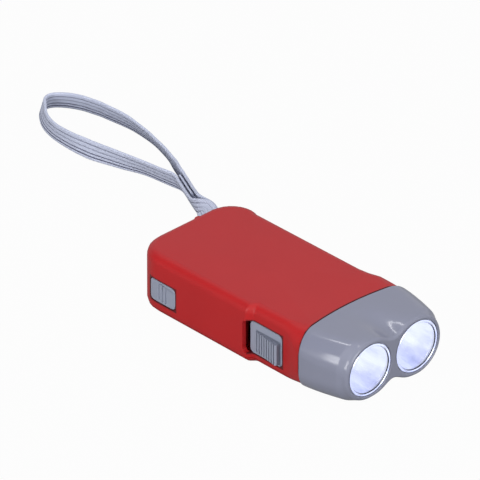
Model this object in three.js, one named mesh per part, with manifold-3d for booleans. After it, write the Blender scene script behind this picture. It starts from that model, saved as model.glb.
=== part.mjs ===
// A squeeze-lever dynamo flashlight with two lamps, a slide switch, a lock button and a wrist strap.
// Millimetres. +X runs to the lamps, +Y to the squeeze lever and +Z up.
// The origin is the middle of the underside.
import * as THREE from "three";
import { mergeVertices } from "three/addons/utils/BufferGeometryUtils.js";
import Module from "manifold-3d";

const wasm = await Module();
wasm.setup();

const degrees = THREE.MathUtils.degToRad;

// Housing. Distances along the body are measured from its rear face.
const overallLength = 104.2;
const bodyHeight = 23.7;
const nearSide = 26.7;
const farSide = 20.8;
const farTaper = 0.8;
const rearCorner = 11.5;
const rearBump = 0.7;
const bumpRun = 2.6;
const scoopDepth = 2.2;
const scoopStart = 56.6;
const scoopStep = 2.8;
const scoopReturn = 74;
const flareStart = 66;
const flareEnd = 88;
const edgeRound = 3.5;
const edgeGrowthStart = 74;
const wall = 1.8;
const splitHeight = 2.2;
const splitGap = 0.2;
const fitGap = 0.3;
const overrun = 2;

// Head
const headHalfWidth = 27.1;
const seamSide = 84;
const seamSag = 3.4;
const seamGap = 0.25;
const headCorner = 8.5;
const headCornerGrowth = 1.9;
const headTaper = 3.9;
const lampSpacing = 22.7;
const lampHeight = 12;
const rimRadius = 11.7;
const rimStart = 99.7;
const rimRound = 1.5;
const valleyDepth = 3.2;
const valleyWidth = 5.2;
const lipThickness = 2.6;
const apertureRadius = 10.2;
const spigotLength = 2.6;
const spigotWall = 1.2;
const headWall = 3.2;

// Lenses, reflectors and lamps
const lensRecess = 0.4;
const lensFlangeRadius = 10.7;
const lensFlange = 1;
const lensPocketRadius = 10.9;
const lensPlay = 0.15;
const reflectorFlange = 0.9;
const reflectorMouth = 9.9;
const reflectorDepth = 11;
const reflectorThroat = 3.1;
const reflectorWall = 0.8;
const ledRadius = 2.5;
const ledFlangeRadius = 2.8;
const ledFlangeHeight = 1;
const ledLength = 7.4;
const ledBoardThickness = 1.4;
const ledBoardWidth = 31;
const ledBoardHeight = 12;

// Gear train. A gear's pitch diameter is its tooth count times the module.
const gearModule = 0.8;
const pressureAngle = degrees(25);
const backlash = 0.24;
const addendumShare = 0.85;
const dedendumShare = 1.15;
const undercutShare = 0.72;
const sectorTeethRound = 68;
const sectorMargin = degrees(6);
const firstPinionTeeth = 10;
const firstWheelTeeth = 28;
const secondPinionTeeth = 9;
const secondWheelTeeth = 26;
const rotorTeeth = 9;
const sectorThickness = 2.7;
const sectorLow = 6.4;
const sectorBoss = 2.6;
const sectorBossHeight = 1.6;
const sectorWindow = 2.6;
const sectorWindowReach = 16;
const wheelThickness = 2;
const layerGap = 0.3;
const axleRadius = 1;
const axlePlay = 0.1;
const gearHub = 1.9;
const firstBearing = degrees(202);
const secondBearing = degrees(225);
const rotorBearing = degrees(165);

// Squeeze lever
const pivotFromRear = 75.5;
const pivotSide = 16;
const pivotRadius = 1.5;
const leverSwing = degrees(23);
const leverGap = 0.4;
const leverLow = 4.3;
const leverBelowTop = 4.4;
const leverBulge = 1.5;
const leverRear = 14.4;
const leverShoulder = 64;
const leverDepth = 5;
const leverWall = 1.8;
const leverEdge = 1;
const leverHub = 4.8;
const openingPastPivot = 0.4;
const hookWidth = 2;
const hookReach = 9.6;
const hookBarb = 1.1;
const hookHeight = 2.4;
const springCoil = 2.5;
const springWire = 0.35;
const springTurns = 3;
const springPitch = 1.15;
const springLeg = 11;
const springMovingBearing = degrees(171);
const springFixedBearing = degrees(240);
const springFixedLeg = 6;
const springPostRadius = 1.2;

// Generator
const magnetRadius = 6.5;
const magnetLow = 3.9;
const magnetHeight = 5.2;
const magnetBore = 2;
const airGap = 0.6;
const coreHeight = 4.6;
const coreLimb = 3.6;
const coreReach = 5.5;
const coreBack = 14.9;
const coreBackDepth = 3.4;
const coreStandRadius = 1.6;
const bobbinWall = 0.7;
const bobbinFlange = 0.8;
const coilBuild = 1.6;
const flywheelRadius = 8.1;
const flywheelThickness = 1;

// Posts and the plate over the gears
const postRadius = 2;
const axleBossHeight = 1.7;
const frontPostBearing = degrees(-79);
const nearPostBearing = degrees(-86);
const farPostBearing = degrees(71);
const rearPostBearing = degrees(128);
const coverLow = 15;
const coverThickness = 1.5;
const coverArm = 2.6;

// Lock button, its bar and its spring
const lockRear = 8.3;
const lockFront = 21.2;
const lockLow = 5.6;
const lockHigh = 14;
const lockCorner = 1.6;
const lockGap = 0.3;
const lockDepth = 3;
const lockTravel = 1.5;
const lockFlange = 0.9;
const lockFlangeThickness = 0.9;
const lockGroovePitch = 1.7;
const lockGrooves = 3;
const lockBarInset = 1.3;
const lockBarWidth = 2.6;
const lockBarHeight = 1;
const lockBarEnd = 15.6;
const lockSpringRadius = 1.5;
const lockSpringWire = 0.25;
const lockSpringTurns = 3;
const lockSpringSpare = 0.9;
const lockRibThickness = 0.9;
const lockRibWidth = 5;
const lockRibBelow = 2.6;
const grooveWidth = 0.5;
const grooveDepth = 0.45;

// Slide switch
const knobRear = 57.4;
const knobFront = 73.2;
const knobLow = 4.6;
const knobHigh = 17.3;
const knobCorner = 1.6;
const knobGap = 0.25;
const switchTravel = 1.7;
const knobFlange = 0.9;
const knobFlangeThickness = 0.8;
const padRear = 60.3;
const padFront = 72.2;
const padLow = 5.7;
const padHigh = 14;
const padRise = 2.1;
const padStart = 0.35;
const padRound = 0.7;
const padGrooves = 8;
const padGroovePitch = 1.43;
const forkWall = 0.8;
const forkPlay = 0.15;
const switchBodyLength = 8.6;
const switchBodyDepth = 3.7;
const switchBodyHeight = 3.5;
const switchStem = 1.5;
const switchStemReach = 2.2;
const switchStemRoot = 1.2;

// Main board and cell
const boardRear = 55.2;
const boardFront = 75.8;
const boardNear = 17;
const boardFar = 5;
const boardLow = 12.2;
const boardThickness = 1.2;
const boardPostInset = 2;
const cellRadius = 10;
const cellThickness = 3.2;
const cellFromRear = 65.5;
const cellSide = -5.9;
const clipThickness = 0.4;
const clipWidth = 6;
const chipLength = 3;
const chipWidth = 2.4;
const chipHeight = 1.1;

// Screws
const screwRadius = 1;
const screwHeadRadius = 2.1;
const screwHeadHeight = 1.3;
const screwPlay = 0.3;
const screwSlotWidth = 0.6;
const screwSlotDepth = 0.6;
const screwLength = 7.5;
const shortScrewLength = 4.5;
const bossRadius = 2.6;
const counterboreDepth = 2;
const counterboreFloor = 1.3;
const rearBossFromRear = 5.6;
const rearBossSide = -6;
const nearBossFromRear = 50;
const farBossFromRear = 34;
const farBossSide = 14;
const frontBossFromRear = 77;
const frontBossSide = -19.6;

// Wrist strap
const strapWidth = 7.2;
const strapThickness = 1.1;
const strapHeight = 12.2;
const strapExitSide = 11.6;
const strapExitFromRear = 0.2;
const strapBearing = degrees(35);
const strapPinInset = 6.6;
const strapPinRadius = 0.8;
const strapPostRadius = 1.8;
const strapPostDrop = 0.9;
const strapSlotPlay = 0.4;
const twistStartShare = 0.12;
const twistEndShare = 0.5;
const neckLean = degrees(25);

// Leads
const leadRadius = 0.4;
const leadSag = 1.2;
const lampLeadSpacing = 3.4;
const lampPadInset = 4;
const coilLeadSpacing = 2;
const coilLeadSide = 6.5;
const coilLeadBelowTop = 6.1;
const coilPadInset = 0.8;
const coilPadSide = 5.2;

const leverTop = bodyHeight - leverBelowTop;
const coilLeadHeight = bodyHeight - coilLeadBelowTop;
const xRear = -overallLength / 2;
const fromRear = (distance) => xRear + distance;
const seamGapHalf = seamGap / 2;

const materials = {
  red: new THREE.MeshStandardMaterial({ color: 0xb3161b, roughness: 0.55 }),
  grey: new THREE.MeshStandardMaterial({ color: 0x8d90a0, roughness: 0.3 }),
  greyMatt: new THREE.MeshStandardMaterial({ color: 0x8b93a1, roughness: 0.6 }),
  chrome: new THREE.MeshStandardMaterial({ color: 0xf2f4f8, roughness: 0.08, metalness: 1 }),
  clear: new THREE.MeshStandardMaterial({ color: 0xe8f0ff, roughness: 0.05 }),
  lamp: new THREE.MeshStandardMaterial({ color: 0xf4f7ff, roughness: 0.15 }),
  board: new THREE.MeshStandardMaterial({ color: 0x1f6b3a, roughness: 0.5 }),
  nylon: new THREE.MeshStandardMaterial({ color: 0xe9e6dc, roughness: 0.5 }),
  steel: new THREE.MeshStandardMaterial({ color: 0xb9bcc2, roughness: 0.35, metalness: 1 }),
  ferrite: new THREE.MeshStandardMaterial({ color: 0x2b2b2e, roughness: 0.7 }),
  iron: new THREE.MeshStandardMaterial({ color: 0x74777c, roughness: 0.5, metalness: 0.9 }),
  copper: new THREE.MeshStandardMaterial({ color: 0xa85a2a, roughness: 0.4, metalness: 0.9 }),
  black: new THREE.MeshStandardMaterial({ color: 0x1d1d20, roughness: 0.6 }),
  strap: new THREE.MeshStandardMaterial({ color: 0xa9aec1, roughness: 0.9 }),
  leadRed: new THREE.MeshStandardMaterial({ color: 0xb0201c, roughness: 0.5 }),
};

const part = new THREE.Group();

// Solids

// A closed geometry as a solid that can be joined and cut, whichever way its faces were wound
function solidOf(geometry) {
  const bare = geometry.clone();
  for (const name of Object.keys(bare.attributes)) if (name !== "position") bare.deleteAttribute(name);
  const merged = mergeVertices(bare, 1e-4);
  const corners = new Uint32Array(merged.index.array);
  const vertProperties = merged.attributes.position.array;
  const make = () => new wasm.Manifold(new wasm.Mesh({ numProp: 3, vertProperties, triVerts: corners }));
  const solid = make();
  if (solid.volume() > 0) return solid;
  for (let i = 0; i < corners.length; i += 3) [corners[i], corners[i + 1]] = [corners[i + 1], corners[i]];
  return make();
}

function geometryOf(solid) {
  const mesh = solid.getMesh();
  const positions = new Float32Array(mesh.numVert * 3);
  for (let i = 0; i < mesh.numVert; i++)
    for (let axis = 0; axis < 3; axis++)
      positions[i * 3 + axis] = mesh.vertProperties[i * mesh.numProp + axis];
  const geometry = new THREE.BufferGeometry();
  geometry.setAttribute("position", new THREE.BufferAttribute(positions, 3));
  geometry.setIndex(new THREE.BufferAttribute(new Uint32Array(mesh.triVerts), 1));
  const flat = geometry.toNonIndexed();
  flat.computeVertexNormals();
  return flat;
}

function addNode(name, solid, material) {
  const mesh = new THREE.Mesh(geometryOf(solid), material);
  mesh.name = name;
  part.add(mesh);
}

const join = (first, ...others) => others.reduce((sum, other) => sum.add(other), first);
const cut = (first, ...others) => others.reduce((rest, other) => rest.subtract(other), first);

function boxBetween([x0, y0, z0], [x1, y1, z1]) {
  const geometry = new THREE.BoxGeometry(x1 - x0, y1 - y0, z1 - z0);
  return solidOf(geometry.translate((x0 + x1) / 2, (y0 + y1) / 2, (z0 + z1) / 2));
}

function barZ(radius, low, high, [x, y], sides = 24) {
  const geometry = new THREE.CylinderGeometry(radius, radius, high - low, sides);
  return solidOf(geometry.rotateX(Math.PI / 2).translate(x, y, (low + high) / 2));
}

function barX(radius, low, high, [y, z], sides = 24) {
  const geometry = new THREE.CylinderGeometry(radius, radius, high - low, sides);
  return solidOf(geometry.rotateZ(Math.PI / 2).translate((low + high) / 2, y, z));
}

// A flat outline given a thickness from one height to another
function plate(points, low, high) {
  const shape = new THREE.Shape(points.map(([x, y]) => new THREE.Vector2(x, y)));
  const geometry = new THREE.ExtrudeGeometry(shape, { depth: high - low, bevelEnabled: false });
  return solidOf(geometry.translate(0, 0, low));
}

// For each corner of an outline, how it moves for each millimetre that its edges move inwards
function inwardMoves(points) {
  const count = points.length;
  return points.map(([x, y], i) => {
    const [px, py] = points[(i + count - 1) % count];
    const [nx, ny] = points[(i + 1) % count];
    const before = new THREE.Vector2(x - px, y - py).normalize();
    const after = new THREE.Vector2(nx - x, ny - y).normalize();
    const inward = new THREE.Vector2(-before.y - after.y, before.x + after.x);
    return inward.multiplyScalar(2 / inward.lengthSq()).toArray();
  });
}

// A plate with rounded upper and lower edges, its outline first moved in by a margin.
// The rounding's radius is given for a place along X.
function roundedPlate(points, moves, low, high, roundAt, margin = 0, steps = 3) {
  const ring = (turn, height, up) =>
    points.map(([x, y], i) => {
      const round = roundAt(x);
      const shift = margin + round * (1 - Math.sin(turn));
      const rise = up * round * (1 - Math.cos(turn));
      return [x + moves[i][0] * shift, y + moves[i][1] * shift, height + rise];
    });
  const turns = Array.from({ length: steps + 1 }, (_, i) => ((Math.PI / 2) * i) / steps);
  const lower = turns.map((turn) => ring(turn, low, 1));
  const upper = turns.map((turn) => ring(turn, high, -1)).reverse();
  return skinOf([...lower, ...upper]);
}

// A closed profile of [radius, place] pairs turned round an axis along X
function turnedX(profile, [y, z], sides = 32) {
  const points = profile.map(([radius, place]) => new THREE.Vector2(radius, place));
  const geometry = new THREE.LatheGeometry(points, sides);
  return solidOf(geometry.rotateZ(-Math.PI / 2).translate(0, y, z));
}

// Rings with equal point counts joined into one skin with flat ends
function skinOf(rings) {
  const count = rings[0].length;
  const positions = rings.flat(2);
  const index = [];
  for (let i = 0; i < rings.length - 1; i++)
    for (let j = 0; j < count; j++) {
      const [a, b] = [i * count + j, i * count + ((j + 1) % count)];
      index.push(a, b, b + count, a, b + count, a + count);
    }
  const capEnds = [0, rings.length - 1];
  for (const end of capEnds) {
    const centre = positions.length / 3;
    for (let axis = 0; axis < 3; axis++)
      positions.push(rings[end].reduce((sum, point) => sum + point[axis], 0) / count);
    for (let j = 0; j < count; j++) {
      const [a, b] = [end * count + j, end * count + ((j + 1) % count)];
      index.push(...(end === 0 ? [centre, b, a] : [centre, a, b]));
    }
  }
  const geometry = new THREE.BufferGeometry();
  geometry.setAttribute("position", new THREE.Float32BufferAttribute(positions, 3));
  geometry.setIndex(index);
  return solidOf(geometry);
}

// A round wire of few sides along a line of points
function wireAlong(points, radius, sides = 5) {
  const vectors = points.map((point) => new THREE.Vector3(...point));
  let across = new THREE.Vector3();
  const rings = vectors.map((point, i) => {
    const before = vectors[Math.max(i - 1, 0)];
    const after = vectors[Math.min(i + 1, vectors.length - 1)];
    const along = after.clone().sub(before).normalize();
    if (i === 0) across.set(0, 0, 1).cross(along);
    if (across.lengthSq() === 0) across.set(1, 0, 0);
    across.addScaledVector(along, -across.dot(along)).normalize();
    const up = along.clone().cross(across);
    return Array.from({ length: sides }, (_, j) => {
      const angle = (2 * Math.PI * j) / sides;
      const offset = across.clone().multiplyScalar(radius * Math.cos(angle));
      return point.clone().add(offset).addScaledVector(up, radius * Math.sin(angle)).toArray();
    });
  });
  return skinOf(rings);
}

// A smooth line through a few chosen points
function smooth(points, steps) {
  const vectors = points.map((point) => new THREE.Vector3(...point));
  const curve = new THREE.CatmullRomCurve3(vectors, false, "centripetal");
  return curve.getSpacedPoints(steps).map((point) => point.toArray());
}

const ease = (value, start, end) => THREE.MathUtils.smoothstep(value, start, end);
const beside = ([x, y], bearing, distance) => [
  x + distance * Math.cos(bearing),
  y + distance * Math.sin(bearing),
];
const between = (start, end, shares) => shares.map((share) => start + (end - start) * share);

// Housing outline, seen from above
const outlineEnd = seamSide + edgeRound + wall + overrun;
const flareWidth = headHalfWidth - farSide - farTaper;

function nearEdge(x) {
  const scoop = ease(x, scoopStart, scoopStart + scoopStep) * (1 - ease(x, scoopReturn, seamSide));
  return -nearSide + scoopDepth * scoop;
}

function farEdge(x) {
  const bump = rearBump * (1 - ease(x, rearCorner, rearCorner + bumpRun));
  const taper = farTaper * ease(x, rearCorner, seamSide);
  return farSide + bump + taper + flareWidth * ease(x, flareStart, flareEnd);
}

const stepShares = [0, 0.25, 0.5, 0.75, 1];
const flareShares = [0, 0.2, 0.4, 0.6, 0.8, 1];
const cornerSteps = 7;

// The housing seen from above, as corners with how each moves inwards: straight across on the sides,
// and towards the middle of the rounding at the rear
function cornerPoints(centreY, start) {
  return Array.from({ length: cornerSteps + 1 }, (_, i) => {
    const angle = start + ((Math.PI / 2) * i) / cornerSteps;
    const [x, y] = beside([fromRear(rearCorner), centreY], angle, rearCorner);
    return { corner: [x, y], move: [-Math.cos(angle), -Math.sin(angle)] };
  });
}

function housingCorners() {
  const nearPlaces = [
    ...between(scoopStart, scoopStart + scoopStep, stepShares),
    ...between(scoopReturn, seamSide, stepShares),
    outlineEnd,
  ];
  const farPlaces = [
    ...between(rearCorner, rearCorner + bumpRun, stepShares.slice(1)),
    ...between(flareStart, flareEnd, flareShares),
    outlineEnd,
  ];
  const near = nearPlaces.map((x) => ({ corner: [fromRear(x), nearEdge(x)], move: [0, 1] }));
  const far = farPlaces.map((x) => ({ corner: [fromRear(x), farEdge(x)], move: [0, -1] })).reverse();
  const farRear = cornerPoints(farEdge(0) - rearCorner, Math.PI / 2);
  const nearRear = cornerPoints(-nearSide + rearCorner, Math.PI);
  return [...near, ...far, ...farRear, ...nearRear];
}

const outline = housingCorners().map(({ corner }) => corner);
const outlineMoves = housingCorners().map(({ move }) => move);

// The seam between body and head is an arc, further back in the middle
const seamRadius = (headHalfWidth ** 2 + seamSag ** 2) / (2 * seamSag);
const seamCentre = seamSide - seamSag + seamRadius;

function aheadOfSeam(growth) {
  return barZ(seamRadius + growth, -overrun, bodyHeight + 2 * overrun, [fromRear(seamCentre), 0], 160);
}

// The long edges' rounding grows to the head's corner at the seam
function edgeRoundAt(x) {
  return edgeRound + (headCorner - edgeRound) * ease(x - xRear, edgeGrowthStart, seamSide);
}
const hollowRoundAt = (x) => edgeRoundAt(x) - wall;

const wholeHousing = () => roundedPlate(outline, outlineMoves, 0, bodyHeight, edgeRoundAt);
const housingHollow = () =>
  roundedPlate(outline, outlineMoves, wall, bodyHeight - wall, hollowRoundAt, wall, 2);

// Places seen from above
const pivot = [fromRear(pivotFromRear), pivotSide];
const pitch = (teeth) => (gearModule * teeth) / 2;
const tip = (teeth) => pitch(teeth) + gearModule * addendumShare;
const firstAxle = beside(pivot, firstBearing, pitch(sectorTeethRound) + pitch(firstPinionTeeth));
const secondAxle = beside(firstAxle, secondBearing, pitch(firstWheelTeeth) + pitch(secondPinionTeeth));
const rotorAxle = beside(secondAxle, rotorBearing, pitch(secondWheelTeeth) + pitch(rotorTeeth));
const postStand = postRadius + fitGap;
const coverPosts = {
  front: beside(firstAxle, frontPostBearing, tip(firstWheelTeeth) + postStand),
  near: beside(secondAxle, nearPostBearing, tip(secondWheelTeeth) + postStand + fitGap),
  far: beside(rotorAxle, farPostBearing, magnetRadius + airGap + coreReach + postStand),
  rear: beside(rotorAxle, rearPostBearing, magnetRadius + airGap + coreLimb + postStand),
};
const boards = { near: -boardNear, far: boardFar, rear: fromRear(boardRear), front: fromRear(boardFront) };
const boardPosts = [
  [boards.rear + boardPostInset, boards.near + boardPostInset],
  [boards.front - boardPostInset, boards.near + boardPostInset],
  [boards.front - boardPostInset, boards.far - boardPostInset],
];
const insideNear = -nearSide + wall;
const screwBosses = {
  rear: [fromRear(rearBossFromRear), rearBossSide],
  near: [fromRear(nearBossFromRear), insideNear + bossRadius + fitGap],
  far: [fromRear(farBossFromRear), farBossSide],
  front: [fromRear(frontBossFromRear), frontBossSide],
};

// Strap pin, set across the far rear corner
const strapExit = [fromRear(strapExitFromRear), strapExitSide];
const strapOutward = Math.PI - strapBearing;
const strapPin = beside(strapExit, strapOutward, -strapPinInset);
const strapAcross = strapOutward + Math.PI / 2;
const strapPlySpread = 2 * strapPinRadius + strapThickness + fitGap;
const strapPinSpan = strapWidth + 2 * (strapPostRadius + fitGap);
const strapPosts = [-1, 1].map((side) => beside(strapPin, strapAcross, (side * strapPinSpan) / 2));

const strapRodHalf = (strapPinSpan + strapPostRadius) / 2;

// A bar lying across the strap's direction
function strapBar(radius, halfLength) {
  const geometry = new THREE.CylinderGeometry(radius, radius, 2 * halfLength, 16);
  geometry.rotateZ(strapAcross - Math.PI / 2).translate(...strapPin, strapHeight);
  return solidOf(geometry);
}

// Housing

function windowBox(rear, front, low, high, gap, corner) {
  const points = [
    [fromRear(rear) - gap, low - gap],
    [fromRear(front) + gap, low - gap],
    [fromRear(front) + gap, high + gap],
    [fromRear(rear) - gap, high + gap],
  ];
  const rounded = roundCorners(points, corner + gap);
  const shape = new THREE.Shape(rounded.map(([x, z]) => new THREE.Vector2(x, z)));
  const geometry = new THREE.ExtrudeGeometry(shape, { depth: nearSide, bevelEnabled: false });
  return solidOf(geometry.rotateX(Math.PI / 2).translate(0, -nearSide / 2, 0));
}

// A convex outline with its corners turned into arcs
function roundCorners(points, radius, steps = 3) {
  const moves = inwardMoves(points);
  const small = points.map(([x, y], i) => [x + moves[i][0] * radius, y + moves[i][1] * radius]);
  return small.flatMap(([x, y], i) => {
    const [px, py] = small[(i + small.length - 1) % small.length];
    const start = Math.atan2(y - py, x - px) - Math.PI / 2;
    const [nx, ny] = small[(i + 1) % small.length];
    const end = Math.atan2(ny - y, nx - x) - Math.PI / 2;
    const sweep = (end - start + 2 * Math.PI) % (2 * Math.PI);
    const turns = Array.from({ length: steps + 1 }, (_, k) => start + (sweep * k) / steps);
    return turns.map((turn) => beside([x, y], turn, radius));
  });
}

const switchWindow = () => {
  const rear = knobRear - switchTravel;
  return windowBox(rear, knobFront, knobLow, knobHigh, knobGap, knobCorner);
};
const lockWindow = () => windowBox(lockRear, lockFront, lockLow, lockHigh, lockGap, lockCorner);
const trayBossRadius = screwHeadRadius + screwPlay + wall / 2;

const lockSpringLength = lockTravel + lockSpringSpare;

function upperShell() {
  const top = bodyHeight - wall / 2;
  const above = [
    [xRear - overrun, -headHalfWidth - overrun, splitHeight + splitGap],
    [fromRear(outlineEnd + overrun), headHalfWidth + overrun, bodyHeight + overrun],
  ];
  const skin = cut(wholeHousing().intersect(boxBetween(...above)), housingHollow(), aheadOfSeam(seamGapHalf));
  const leverOpening = boxBetween(
    [fromRear(leverRear) - leverGap, farSide / 2 + wall, leverLow - leverGap],
    [fromRear(pivotFromRear + openingPastPivot), headHalfWidth, leverTop + leverGap],
  );
  const slotHalf = strapWidth / 2 + strapSlotPlay;
  const slotHigh = strapPlySpread / 2 + strapThickness / 2 + strapSlotPlay;
  const slot = new THREE.BoxGeometry(strapPinInset + wall, 2 * slotHalf, 2 * slotHigh);
  slot.translate(strapPinInset - strapPinRadius, 0, 0);
  slot.rotateZ(strapOutward).translate(...strapPin, strapHeight);
  const open = cut(skin, leverOpening, solidOf(slot), switchWindow(), lockWindow());
  const bossLow = counterboreDepth + counterboreFloor + fitGap;
  const bosses = Object.values(screwBosses).map((place) => barZ(bossRadius, bossLow, top, place));
  const strapLow = strapHeight - strapPinRadius - strapPostDrop;
  const strapBosses = strapPosts.map((place) => barZ(strapPostRadius, strapLow, top, place, 16));
  const pivotBoss = barZ(leverHub, leverTop + fitGap, top, pivot);
  const ribX = fromRear((lockRear + lockFront) / 2);
  const ribY = -nearSide + lockDepth + lockSpringLength + fitGap;
  const ribLow = (lockLow + lockHigh) / 2 - lockRibBelow;
  const rib = boxBetween(
    [ribX - lockRibWidth / 2, ribY, ribLow],
    [ribX + lockRibWidth / 2, ribY + lockRibThickness, top],
  );
  const springPost = barZ(springPostRadius, springHigh - springWire - overrun, top, springStop, 12);
  const whole = join(open, ...bosses, ...strapBosses, pivotBoss, rib, springPost);
  const holes = Object.values(screwBosses).map((place) =>
    barZ(screwRadius + screwPlay / 2, bossLow - overrun, screwLength + screwHeadHeight + overrun, place, 12),
  );
  const pinHole = barZ(pivotRadius + axlePlay, leverTop - overrun, top - wall / 4, pivot);
  return cut(whole, ...holes, pinHole, strapBar(strapPinRadius + axlePlay, strapRodHalf + fitGap));
}

function bottomCover() {
  const below = [
    [xRear - overrun, -headHalfWidth - overrun, -overrun],
    [fromRear(outlineEnd + overrun), headHalfWidth + overrun, splitHeight],
  ];
  const skin = cut(wholeHousing().intersect(boxBetween(...below)), housingHollow(), aheadOfSeam(seamGapHalf));
  const floor = wall / 2;
  const trayBosses = Object.values(screwBosses).map((place) => {
    const boss = barZ(trayBossRadius, floor, counterboreDepth + counterboreFloor, place);
    return join(barZ(trayBossRadius, floor, splitHeight, place), boss.intersect(innerSpace(fitGap)));
  });
  const axles = [firstAxle, secondAxle, rotorAxle];
  const axleBosses = axles.map((place) => barZ(gearHub, floor, wall + axleBossHeight, place, 16));
  const posts = Object.values(coverPosts).map((place) => barZ(postRadius, floor, coverLow, place, 12));
  const boardStands = boardPosts.map((place) => barZ(postRadius, floor, boardLow, place, 12));
  const pivotBoss = barZ(leverHub, floor, leverLow - fitGap, pivot);
  const coreStands = [-1, 1].map((side) => {
    const x = rotorAxle[0] + side * (coreOuter - coreLimb / 2);
    const place = [x, rotorAxle[1] + coreReach - coreLimb / 2];
    return barZ(coreStandRadius, floor, coreLow - fitGap / 2, place, 12);
  });
  const whole = join(skin, ...trayBosses, ...axleBosses, ...posts, ...boardStands, ...coreStands, pivotBoss);
  const holes = Object.values(screwBosses).flatMap((place) => [
    barZ(screwHeadRadius + screwPlay, -overrun, counterboreDepth, place, 16),
    barZ(screwRadius + screwPlay / 2, -overrun, splitHeight + overrun, place, 12),
  ]);
  const blind = (radius, places, top) => places.map((place) => barZ(radius, wall, top + overrun, place, 10));
  return cut(
    whole,
    ...holes,
    ...blind(axleRadius + axlePlay, axles, wall + axleBossHeight),
    ...blind(pivotRadius + axlePlay, [pivot], leverLow),
    ...blind(screwRadius + screwPlay / 2, [...Object.values(coverPosts), ...boardPosts], coverLow),
  );
}

// Head

// One section of the head: a rounded rectangle whose top and bottom dip between the two lamps
const cornerTurns = 6;
const valleyShares = [-1, -0.7, -0.45, -0.22, 0, 0.22, 0.45, 0.7, 1];

function headSection(x, halfWidth, halfHeight, corner, valley, middle) {
  const flat = halfWidth - corner;
  const dip = (y) => valley * Math.exp(-((y / valleyWidth) ** 2));
  const arc = (side, rise, start) =>
    Array.from({ length: cornerTurns + 1 }, (_, i) => {
      const centre = [side * flat, middle + rise * (halfHeight - corner)];
      return [x, ...beside(centre, start + ((Math.PI / 2) * i) / cornerTurns, corner)];
    });
  const edge = (rise) =>
    valleyShares.slice(1, -1).map((share) => {
      const y = -rise * share * flat;
      return [x, y, middle + rise * (halfHeight - dip(y))];
    });
  return [
    ...arc(1, 1, 0),
    ...edge(1),
    ...arc(-1, 1, Math.PI / 2),
    ...arc(-1, -1, Math.PI),
    ...edge(-1),
    ...arc(1, -1, -Math.PI / 2),
  ];
}

const lampSide = lampSpacing / 2;
const widthPower = 1.5;

// The head's section at a distance from the rear, moved in by a margin
function headRing(distance, margin, rim = 0) {
  const share = Math.max((distance - seamSide) / (overallLength - seamSide), 0);
  const toRim = ease(distance, rimStart, overallLength);
  const mix = (start, end, part) => start + (end - start) * part;
  const rise = ease(distance, seamSide - seamSag, rimStart);
  const halfWidth = mix(headHalfWidth - headTaper * share ** widthPower, lampSide + rimRadius, toRim);
  const halfHeight = mix(mix(bodyHeight / 2, lampHeight, rise), rimRadius, toRim);
  const corner = mix(headCorner + headCornerGrowth * share, rimRadius, toRim);
  const shrink = margin + rim;
  return headSection(
    fromRear(distance),
    halfWidth - shrink,
    halfHeight - shrink,
    Math.max(corner - shrink, rimRound),
    valleyDepth * ease(distance, seamSide, overallLength),
    mix(bodyHeight / 2, lampHeight, rise),
  );
}

const headShares = [0, 0.25, 0.45, 0.62, 0.76, 0.88, 1];
const hollowShares = [0, 0.5, 1];
const rimTurns = 4;
const lampPlaces = [-1, 1].map((side) => [side * lampSide, lampHeight]);
const lipBack = overallLength - lipThickness;

function headBezel() {
  const roundStart = overallLength - rimRound;
  const rings = between(seamSide - seamSag - overrun, roundStart, headShares).map((x) => headRing(x, 0));
  for (let i = 1; i <= rimTurns; i++) {
    const turn = ((Math.PI / 2) * i) / rimTurns;
    rings.push(headRing(roundStart + rimRound * Math.sin(turn), 0, rimRound * (1 - Math.cos(turn))));
  }
  const skin = skinOf(rings).intersect(aheadOfSeam(-seamGapHalf));
  const ring = cut(innerSpace(fitGap), innerSpace(fitGap + spigotWall)).intersect(aheadOfSeam(spigotLength));
  const ahead = boxBetween(
    [fromRear(seamSide + overrun), -headHalfWidth - overrun, -overrun],
    [fromRear(overallLength), headHalfWidth + overrun, bodyHeight + overrun],
  );
  const pockets = [
    barZ(leverHub + fitGap, -overrun, bodyHeight + overrun, pivot),
    barZ(trayBossRadius + fitGap, -overrun, bodyHeight + overrun, screwBosses.front),
  ];
  const collar = cut(ring, ahead, ...pockets);
  const hollowFront = ledBoardFront + fitGap;
  const hollowPlaces = between(seamSide - seamSag - overrun, hollowFront, hollowShares);
  const hollowRings = hollowPlaces.map((x) => headRing(x, headWall));
  const bores = lampPlaces.flatMap((place) => [
    barX(lensPocketRadius, fromRear(hollowFront - overrun), fromRear(lipBack), place, 32),
    barX(apertureRadius, fromRear(hollowFront), fromRear(overallLength + overrun), place, 32),
  ]);
  return join(cut(skin, skinOf(hollowRings), ...bores), collar);
}

// Lenses, reflectors and lamps
const lensBack = lipBack - lensPlay - lensFlange;
const reflectorFront = lensBack - lensPlay;
const reflectorBack = reflectorFront - reflectorDepth;

function lens(place) {
  const face = fromRear(overallLength - lensRecess);
  const shoulder = fromRear(lipBack - lensPlay);
  const plug = apertureRadius - lensPlay;
  const profile = [
    [0, fromRear(lensBack)],
    [lensFlangeRadius, fromRear(lensBack)],
    [lensFlangeRadius, shoulder],
    [plug, shoulder],
    [plug, face - lensRecess],
    [plug - lensRecess, face],
    [0, face],
  ];
  return turnedX(profile, place, 32);
}

const bowlShares = [0, 0.12, 0.35, 0.65, 1];

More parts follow.
